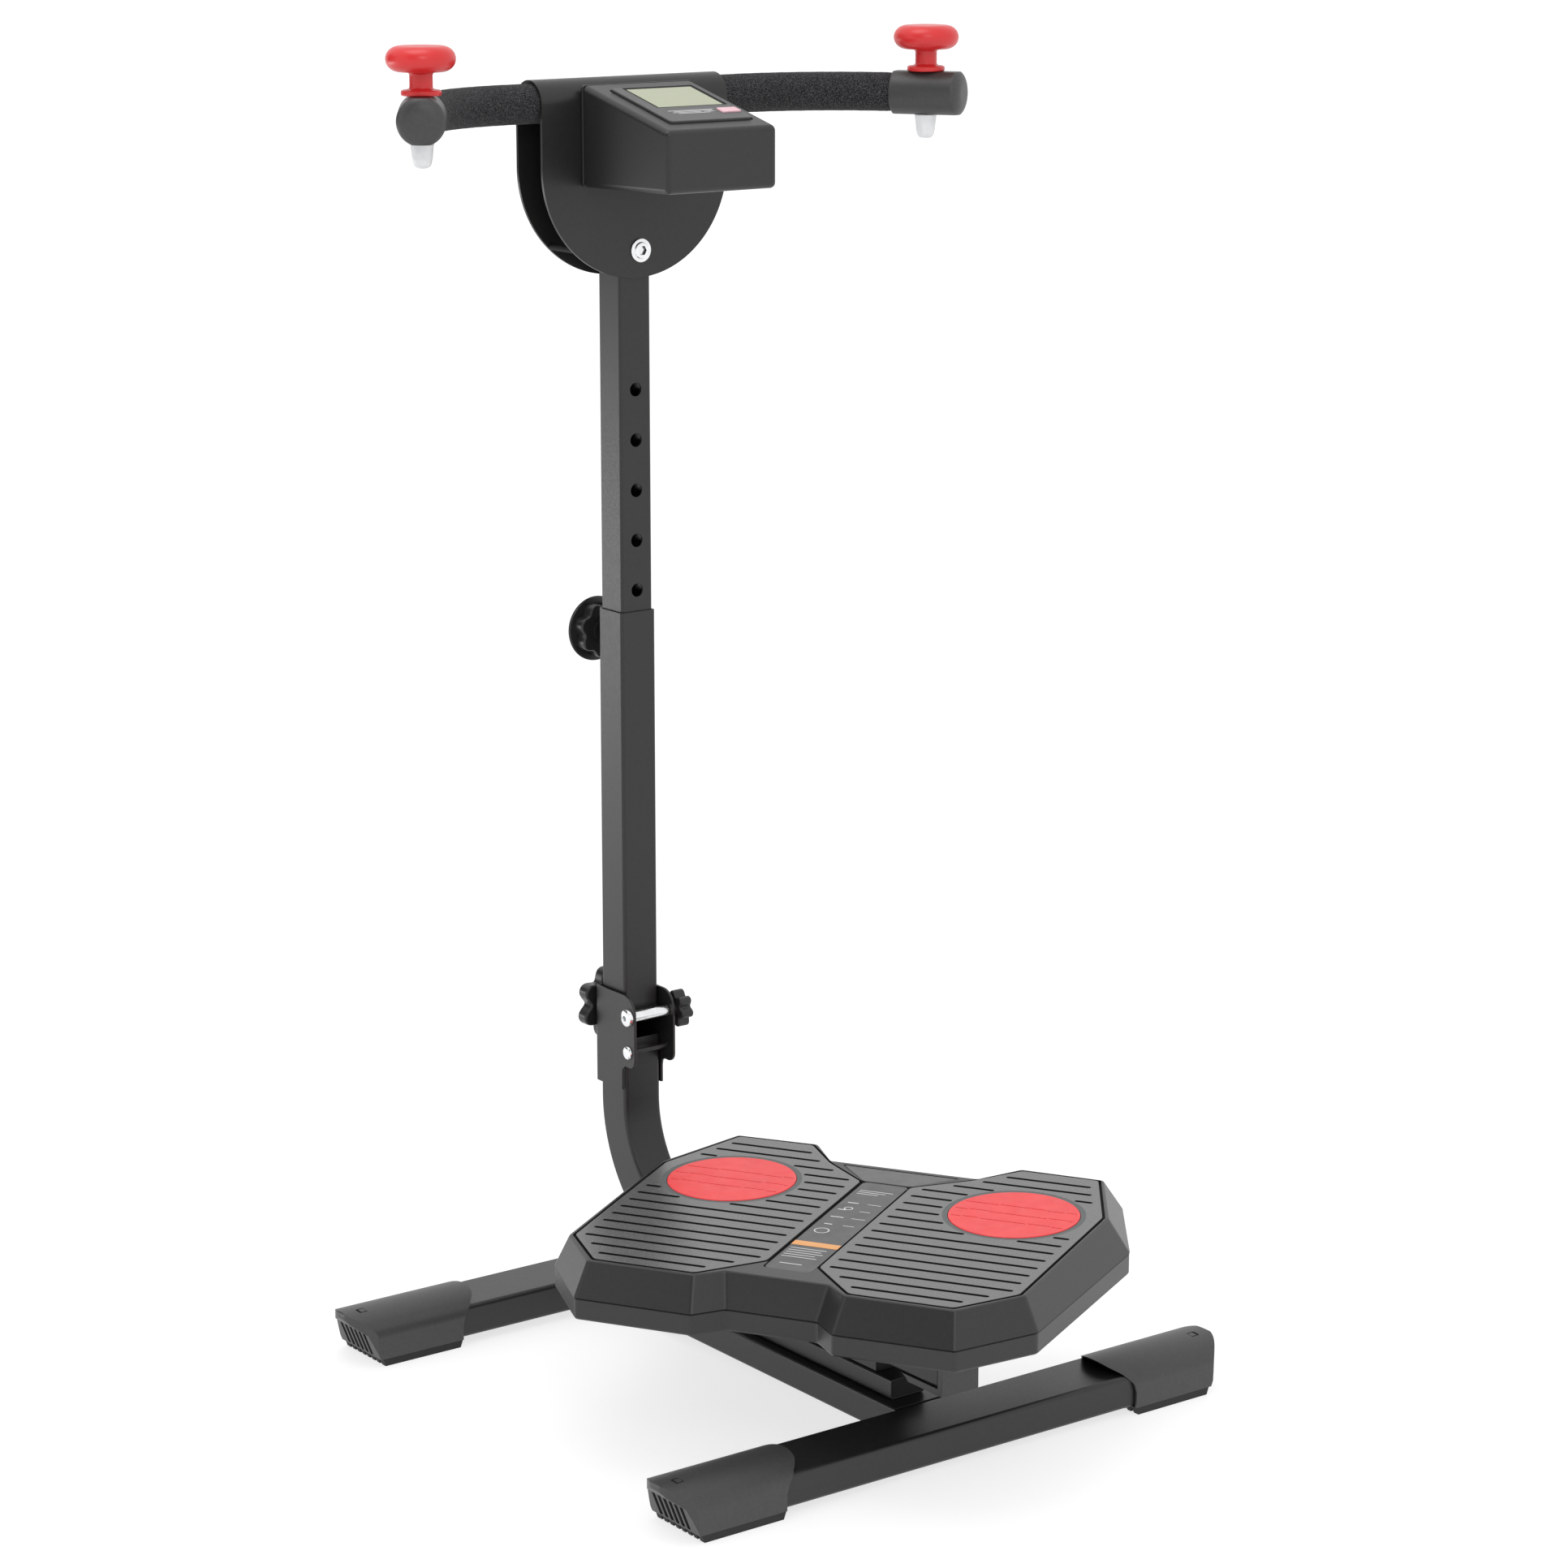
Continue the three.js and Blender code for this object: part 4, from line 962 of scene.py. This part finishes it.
def make_label():
    """A dark film with a generic layout of strokes and rings in place of print, and an orange bar."""
    lo, hi = span("label_panel")
    strip = softened([(23.3, -166.5), (23.3, 97.5), (-23.3, 97.5), (-23.3, -166.5)], 6)
    film = solid(local(prism("z", strip, lo.z, hi.z)))
    stand_in(soften(film, 0.2, 2, 40), "label_panel", "platform", LABEL)
    rows = [(-18, 16 - 6 * k, 72 - 5 * k, 73.2 - 5 * k) for k in range(3)]
    for k, (x0, x1) in enumerate(((-16, -5), (-18, -10), (-17, -4), (-15, -7))):
        y = 34 - 22 * k
        rows += [(x0, x1, y - 0.9, y + 0.9), (4, 18 - 3 * (k % 2), y - 0.5, y + 0.5)]
    for k, wide in enumerate((36, 33, 37, 31, 35)):
        rows.append((-20, -20 + wide, -107 - 6 * k, -105.8 - 6 * k))
    rows.append((-14, 8, -150, -148.6))
    z = hi.z + 0.05
    dial = []
    for centre, radius in (((-10, -52), 7.5), ((-9, 17), 4.5)):
        section = ((radius, z), (radius, z + 0.12), (radius - 1.1, z + 0.12), (radius - 1.1, z))
        dial.append(turned("z", section, centre, 40, cyclic=True))
    bar = bars([(-23.2, 23.2, -98, -86)], z)
    for name, geometry, look in (
        ("label_strokes", bars(rows, z), PRINT),
        ("label_rings", merged(*dial), PRINT),
        ("label_bar", bar, ORANGE),
    ):
        piece(solid(local(geometry)), name, "platform", look)

    lo, hi = span("back_plate")
    plan = softened([(25, 99.5), (59.5, 138), (-59.5, 138), (-25, 99.5)], 3)
    plate = soften(solid(local(prism("z", plan, lo.z, hi.z))), 0.3, 2, 40)
    stand_in(plate, "back_plate", "platform", PLATE)


# ---- post and mast ----
def make_post():
    lo, hi = span("post_tube")
    post = square_tube("post_tube", "z", 1.75, 3.4, 1.9)
    carve(post, cylinder("y", 4.3, POST_Y + 8, POST_Y + 40, (0, PIN.z)))
    stand_in(soften(post, 0.45, 2, 50), "post_tube", "post", PAINT)
    plate = rect(lo.y + 0.5, POST_Y - (hi.x - lo.x) / 2 + 1, FOLD.z - 4, FOLD.z + 4)
    lug = solid(prism("x", softened(plate, 1), -18, 18))
    carve(lug, cylinder("x", 5.8, -30, 30, (FOLD.y, FOLD.z)))
    piece(lug, "post_lug", "post", PAINT)
    lo, hi = span("hinge_sleeve")
    barrel = solid(sleeve("x", 5.6, 4.0, lo.x, hi.x, (FOLD.y, FOLD.z), 0.6))
    stand_in(barrel, "hinge_sleeve", "post", ZINC)
    lo, hi = span("pin_housing")
    boss = solid(sleeve("y", (hi.x - lo.x) / 2, 4.3, lo.y, hi.y, (0, PIN.z), 1.5))
    stand_in(boss, "pin_housing", "post", KNOB)


TOP_HOLE = 953  # height of the mast's highest hole
HOLE_PITCH = 50
HOLES = 6


def make_mast():
    mast = square_tube("mast_tube", "z", 1.6, 3, 1.6)
    holes = []
    for i in range(HOLES):
        for y in (POST_Y - 25, POST_Y + 10):
            holes.append(cylinder("y", 6.8, y, y + 15, (0, TOP_HOLE - HOLE_PITCH * i), 32))
    holes.append(cylinder("y", 4.4, POST_Y - 25, POST_Y + 25, (BOLT.x, BOLT.z)))
    carve(mast, merged(*holes))
    stand_in(soften(mast, 0.35, 2, 50), "mast_tube", "mast", PAINT)
    dress("bar_cradle", PAINT)


def make_saddle():
    """One sheet folded over the handlebar; each side ends in a half circle."""
    half = SADDLE_HI.x
    outer = (SADDLE_HI.y - SADDLE_LO.y) / 2
    arc_z = SADDLE_LO.z + half
    columns = 72

    def fold(x, radius):
        """The sheet's line at x: up one side, over the bar and down the other."""
        drop = arc_z - math.sqrt(max(half * half - x * x, 0))
        line = [(POST_Y - radius, drop + (BAR.z - drop) * k / 10) for k in range(10)]
        line += arc(POST_Y, BAR.z, radius, 180, -180, 24)
        return line + [(POST_Y + radius, BAR.z + (drop - BAR.z) * k / 10) for k in range(1, 11)]

    rings = []
    for i in range(columns + 1):
        x = -half * math.cos(math.pi * i / columns)
        rings.append([(x, y, z) for y, z in fold(x, outer) + fold(x, outer - 3)[::-1]])
    saddle = solid(skin(rings))
    carve(saddle, cylinder("y", 4.4, POST_Y - 40, POST_Y + 40, (BOLT.x, BOLT.z)))
    stand_in(soften(saddle, 0.7, 2, 50), "saddle_plate", "mast", PAINT)
    for node in ("saddle_tie_left", "saddle_tie_right"):
        lo, hi = span(node)
        spot = middle(node)
        tie = solid(cylinder("y", 3, lo.y, hi.y, (spot.x, spot.z), 24))
        # The ties get painted shade: near-black, darker than the frame's paint.
        stand_in(tie, node, "mast", BLACK_TRIM_AND_SHADE)

    centre = (BOLT.x, BOLT.z)
    face_y = span("saddle_bolt")[0].y
    button = [(0, 0), (6.6, 0), (7.6, 0.4), (8.2, 1.3), (8.3, 1.8)]
    washer = [(11, 1.9), (11.6, 2.3), (11.6, 3.4), (4, 3.4)]
    bolt = headed("saddle_bolt", "y", button + washer, 0.6, centre, 56)
    carve(bolt, prism("y", ring(4.9, 6, centre), face_y - 3, face_y + 2.6))
    soften(bolt, 0.25, 2, 40)

    # Painted shade: the walls of the hex socket are near-black.
    def socket_shade(face):
        x, y, z = face.center / MM
        in_socket = math.hypot(x - BOLT.x, z - BOLT.z) < 5 and face_y + 0.4 < y < face_y + 2.7
        return 1 if in_socket and abs(face.normal.y) < 0.5 else 0

    paint_faces(bolt, [ZINC, BLACK_TRIM_AND_SHADE], socket_shade)
    stand_in(bolt, "saddle_bolt", "mast", ZINC)
    dress("saddle_nut", ZINC)


# ---- handlebar ----
BEND = {"straight": 134, "radius": 170, "angle": 57, "tail": 48}
GRIP_R = 19.2
FORWARD = Vector((0, -1, 0))
RIGHT = Vector((1, 0, 0))


def bar_end(t):
    """A point on the right tail of the bar's centre line, t past the bend, and its direction."""
    a = math.radians(BEND["angle"])
    x = BEND["straight"] + BEND["radius"] * math.sin(a)
    y = POST_Y - BEND["radius"] * (1 - math.cos(a))
    return x + t * math.cos(a), y - t * math.sin(a), a


def make_bar():
    x, y, a = bar_end(BEND["tail"])
    heading = Vector((math.cos(a), math.sin(a), 0))
    inward = Vector((math.sin(a), -math.cos(a), 0))
    bend = (BEND["radius"], BEND["angle"], 28)
    parts = [(BEND["tail"],), bend, (2 * BEND["straight"],), bend, (BEND["tail"],)]
    path = bent((-x, y, BAR.z), heading, inward, parts)
    bar = solid(tube(path, ring(12.5, 32)))
    stand_in(bar, "handlebar_tube", "mast", PAINT)


def make_grips():
    """Foam sleeves with a slightly uneven skin and rounded ends."""
    start = span("grip_right")[0].x
    run = BEND["straight"] - start
    parts = [(run / 6,)] * 6 + [(BEND["radius"], BEND["angle"] - 0.6, 46)]
    path = bent((start, POST_Y, BAR.z), RIGHT, FORWARD, parts)
    count = 64
    outer = []
    for k, station in enumerate(path):
        end = min(k, len(path) - 1 - k)
        radius = GRIP_R - (1.2 if end == 0 else 0.25 if end == 1 else 0)
        row = []
        for i in range(count):
            a = 2 * math.pi * i / count
            r = radius - 0.1 + 0.09 * math.sin(k * 1.7 + 3 * a) * math.sin(k * 0.61 + 5 * a)
            row.append((r * math.cos(a), r * math.sin(a)))
        outer += swept([station], row)
    bore = swept(path, ring(13.2, count))
    for hand, ob in twins(solid(skin(outer + bore[::-1], cyclic=True))):
        grip = stand_in(ob, f"grip_{hand}", "mast", FOAM)


def make_end_caps():
    """Rounded caps with a small flat above and below, where the knob and the tip sit."""
    radius, length = 22.8, 71
    edge, dome = 15, 8.5
    profile = [(radius - 1.4, -1), (radius - 0.5, -0.7), (radius, 0.4), (radius, 1.5)]
    profile += arc(radius - edge, length - dome, edge, 0, 90, 12, dome)
    profile.append((0, length + 0.01))
    x, y, a = bar_end(0)
    first = solid(turned("x", profile, (0, 0), 72))
    carve(first, cylinder("x", 12.9, -5, BEND["tail"] + 1, (0, 0)))
    for z0, z1 in ((radius - 1.8, radius + 5), (-radius - 5, -radius + 1.8)):
        carve(first, prism("z", rect(-10, 90, -40, 40), z0, z1))
    soften(first, 0.5, 2, 50)
    place = Matrix.Translation(Vector((x, y, BAR.z)) * MM) @ Matrix.Rotation(-a, 4, "Z")
    first.data.transform(place)
    for hand, ob in twins(first):
        stand_in(ob, f"end_cap_{hand}", "mast", CAP)


def make_knobs():
    """Red mushroom knobs above the caps and frosted tips below them."""
    foot = span("massage_knob_right")[0].z
    spot = middle("massage_knob_right")
    stem = [
        (0, 0), (17.4, 0), (18.2, 0.3), (18.6, 1.1), (18.6, 3.6), (18.1, 4.6), (16.8, 5.2),
        (12.6, 5.8), (11.2, 6.5), (10.7, 8), (10.7, 18.6), (11.4, 20.2), (13.4, 21.1),
    ]
    head = arc(19.6, 33.1, 12.6, -78, 168, 20, 11.7)
    profile = shifted(stem + head + [(10, 44.85), (0, 44.9)], 0, foot)
    tip = [
        (0, -23.4), (3.6, -23.2), (6.2, -22.2), (7.9, -20.4), (8.7, -18), (8.9, -15.6),
        (9.3, -15.2), (9.4, -14.4), (10.9, -0.3), (10.6, 0),
    ]
    tip = shifted(tip, 0, span("knob_tip_right")[1].z)
    for hand, side in HANDS:
        centre = (side * spot.x, spot.y)
        knob = solid(turned("z", profile, centre, 72))
        stand_in(knob, f"massage_knob_{hand}", "mast", KNOB_RED, angle=50)
        stand_in(solid(turned("z", tip, centre)), f"knob_tip_{hand}", "mast", FROST, angle=50)


# ---- console ----
CONSOLE_LO, CONSOLE_HI = span("console_housing")
SLOPE = math.atan2(36, 142.9)
TOP_FRONT = 1216  # height of the top's front edge
TOP = Matrix.Translation((0, CONSOLE_LO.y, TOP_FRONT)) @ Matrix.Rotation(SLOPE, 4, "X")
# Middles of the parts on the sloping top, measured on it from the middle of its front edge.
BUTTON_AT = (38, 45)
BEZEL_AT = (3, 74)
PANE_AT = (8, 93)


def on_top(geometry):
    """Geometry drawn on the console's sloping top, brought to its place."""
    return moved(TOP, geometry)


def top_cut(width, height, radius, at, z0, z1, steps=3):
    """A rounded block standing on the console's top."""
    return on_top(prism("z", shifted(rounded_rect(width, height, radius, steps), *at), z0, z1))


def top_pillow(width, height, radius, at, z0, z1, edge, steps=3, edge_steps=4):
    plan = shifted(rounded_rect(width, height, radius, steps), *at)
    return solid(on_top(pillow("z", plan, z0, z1, edge, edge_steps)))


def make_console():
    front, back = CONSOLE_LO.y, CONSOLE_HI.y
    low, high = CONSOLE_LO.z, CONSOLE_HI.z
    side = [(front, low + 3), (back, low), (back, high), (front, TOP_FRONT)]
    body = solid(prism("x", side, CONSOLE_LO.x, CONSOLE_HI.x))
    soften(body, 5.5, 6, 20)
    carve(body, top_cut(22.8, 12.8, 1.6, BUTTON_AT, -4.2, 10))
    carve(body, top_cut(99, 107, 5.5, BEZEL_AT, -1.4, 10, 4))

    # Painted shade: the floor and walls of the gap round the bezel are near-black.
    def kind(face):
        x, y, z = TOP.inverted() @ (face.center / MM)
        sunk = abs(x - BEZEL_AT[0]) < 50.5 and abs(y - BEZEL_AT[1]) < 54.5
        return 1 if sunk and -1.6 < z < -0.25 else 0

    paint_faces(body, [CONSOLE, PAINTED_SHADE], kind)
    stand_in(body, "console_housing", "mast", CONSOLE)
    collar = softened(rect(-64.6, 64.6, low + 1, high - 0.5), 4)
    flange = soften(solid(prism("y", collar, back - 3.2, back + 0.1)), 0.8, 3, 40)
    piece(flange, "console_flange", "mast", CONSOLE)

    bezel = top_pillow(96, 104, 4.5, BEZEL_AT, -0.8, 2.3, 0.9, 5)
    carve(bezel, top_cut(82, 62, 1.6, PANE_AT, 1.0, 8))
    carve(bezel, top_cut(22.8, 12.8, 1.6, BUTTON_AT, -3, 8))
    stand_in(soften(bezel, 0.3, 2, 50), "console_bezel", "mast", BEZEL)
    glass = top_pillow(75, 55.5, 0.8, PANE_AT, 1.3, 1.75, 0.2, 3, 2)
    stand_in(glass, "console_screen", "mast", SCREEN)
    surround = solid(top_cut(81, 61, 1.3, PANE_AT, 1.12, 1.6))
    carve(surround, top_cut(75.4, 56, 0.9, PANE_AT, 0.5, 4))
    piece(surround, "console_screen_frame", "mast", BLACK_TRIM_AND_SHADE)
    rows = [
        (-29, 23, 50, 51), (-24, 20, 47.4, 48.3), (-27, 6, 44.6, 45.5), (9, 21, 44.6, 45.5),
        (-22, 15, 41.8, 42.8),
    ]
    strokes = solid(on_top(bars(rows, 2.35, 0.1)))
    piece(strokes, "console_strokes", "mast", PRINT)
    key = top_pillow(22, 12, 1.4, BUTTON_AT, -2.2, 3.6, 0.8)
    stand_in(key, "console_button", "reset_button", PINK)


# ---- knobs ----
def star_knob(axis, centre, shape, t0, t1, edge, hub, hub_end):
    """A grip of seven rounded lobes on a round hub; shape: the lobes' tip, valley and turn."""
    body = solid(pillow(axis, star(7, *shape, centre), t0, t1, edge, 5))
    neck = cylinder(axis, hub, hub_end, (t0 + t1) / 2, centre, 40)
    return carve(body, neck, mode="UNION")


def make_rod(node, body, tip, radius, chamfer, centre):
    """A steel rod along Y with a chamfered tip, in a node's place."""
    lo, hi = span(node)
    profile = [(tip, lo.y), (radius, lo.y + chamfer), (radius, hi.y)]
    stand_in(solid(turned("y", profile, centre, 32)), node, body, STEEL)


def make_controls():
    lo, hi = span("fold_knob")
    centre = (0, SCREW.z)
    knob = star_knob("y", centre, (38.4, 28.5, 100), lo.y + 3, hi.y, 2.6, 13, lo.y)
    carve(knob, cylinder("y", 4.5, lo.y - 5, lo.y + 12, centre))
    carve(knob, turned("y", [(9, hi.y - 1.2), (9.6, hi.y + 4)], centre))
    stand_in(knob, "fold_knob", "fold_knob", KNOB)
    make_rod("fold_knob_screw", "fold_knob", 3.4, 4.2, 0.8, centre)

    lo, hi = span("side_knob")
    centre = (FOLD.y, FOLD.z)
    knob = star_knob("x", centre, (19.5, 14.6, 138), lo.x + 3, hi.x, 1.8, 9, lo.x)
    carve(knob, cylinder("x", 4.0, lo.x - 5, 36.4, centre))
    stand_in(knob, "side_knob", "side_knob", KNOB)

    # The pull knob: a thin back disc, a lobed grip and a hub towards the post.
    lo, hi = span("pull_knob")
    centre = (0, PIN.z)
    grip = star_knob("y", centre, (28.4, 23.8, 163), lo.y + 3, hi.y - 2, 2.2, 13.4, lo.y)
    disc = [
        (0, -3.4), (20, -3.4), (31.6, -3.2), (32.8, -2.4), (33, -1.6), (32.4, -0.5), (31, 0), (0, 0),
    ]
    carve(grip, turned("y", shifted(disc, 0, hi.y), centre, 72), mode="UNION")
    carve(grip, cylinder("y", 4.3, lo.y - 5, lo.y + 12, centre))
    carve(grip, turned("y", [(24, hi.y - 0.9), (24.6, hi.y + 4)], centre))
    stand_in(grip, "pull_knob", "pull_knob", KNOB)
    make_rod("pull_pin", "pull_knob", 3.2, 4.0, 0.9, centre)


# ---- floor, light and camera ----
# All in metres. A lamp has a place, a width, a height and its watts, a card a place, an aim, a width
# and a height.
FLOOR_SIZE = 140
LAMP_AIM = (0, 0, 0.6)
LAMPS = (
    ("low_box", (-2.0, 2.8, 0.25), 2.2, 0.5, 12),
    ("top_box", (-0.6, 0.2, 3.6), 1.6, 1.6, 20),
    ("front_box", (-1.6, -2.5, 2.9), 0.9, 0.9, 14),
)
CARDS = (
    ("left_card", (-2.3, 3.3, 1.7), (0, 0, 1.7), 3.2, 2.4),
    ("camera_card", (-2.2, -1.3, 2.5), (-0.15, -0.2, 0.15), 2.6, 2.4),
)
CAMERA_PLACE = (-2.3578, -3.1293, 1.5268)
HEADING, PITCH, ROLL = math.radians(36.72), math.radians(13.21), math.radians(0.02)
SENSOR, LENS = 36, 97.29  # millimetres


def aimed(ob, place, target, front):
    """Puts the object at place, out of the camera's sight, with its front axis to the target."""
    ob.location = place
    ob.rotation_euler = (Vector(target) - Vector(place)).to_track_quat(front, "Y").to_euler()
    ob.visible_camera = False


def sheet(name, wide, high, look):
    """A flat rectangle round the origin, facing up."""
    mesh = bpy.data.meshes.new(name)
    plan = rect(-wide / 2, wide / 2, -high / 2, high / 2)
    mesh.from_pydata([(x, y, 0) for x, y in plan], [], [(0, 1, 2, 3)])
    mesh.materials.append(look)
    return linked(name, mesh)


def make_stage():
    floor = sheet("floor", FLOOR_SIZE, FLOOR_SIZE, ground("floor_paint"))

    world = bpy.data.worlds.new("studio")
    world.use_nodes = True
    set_inputs(world.node_tree.nodes["Background"], {"Color": (1, 1, 1, 1), "Strength": 1.0})
    bpy.context.scene.world = world
    bpy.context.scene.view_settings.view_transform = "Standard"

    for name, place, wide, high, power in LAMPS:
        light = bpy.data.lights.new(name, "AREA")
        light.shape = "RECTANGLE"
        light.size = wide
        light.size_y = high
        light.energy = power
        aimed(linked(name, light), place, LAMP_AIM, "-Z")

    # Only glossy faces see the black cards: one stands behind the machine on its left, one hangs
    # over the line from the camera to the platform, on its left.
    card_look = moulded("card_black", grey(0.004), 0.9)
    for name, place, aim, wide, high in CARDS:
        card = sheet(name, wide, high, card_look)
        aimed(card, place, aim, "Z")
        card.visible_diffuse = card.visible_shadow = False


def make_camera():
    right = Vector((math.cos(HEADING), -math.sin(HEADING), 0))
    level = Vector((math.sin(HEADING), math.cos(HEADING), 0))
    look = math.cos(PITCH) * level - math.sin(PITCH) * Vector((0, 0, 1))
    up = right.cross(look)
    turn = Matrix((right, up, -look)).transposed().to_4x4() @ Matrix.Rotation(ROLL, 4, "Z")
    data = bpy.data.cameras.new("camera")
    data.sensor_width = SENSOR
    data.lens = LENS
    data.clip_end = 200
    camera = linked("camera", data)
    camera.matrix_world = Matrix.Translation(CAMERA_PLACE) @ turn
    bpy.context.scene.camera = camera


make_camera()
make_stage()
make_base()
make_arm()
make_feet()
make_bracket()
make_pins()
make_turntable()
make_shell()
make_tray()
make_mats()
make_pads()
make_label()
make_post()
make_mast()
make_saddle()
make_bar()
make_grips()
make_end_caps()
make_knobs()
make_console()
make_controls()
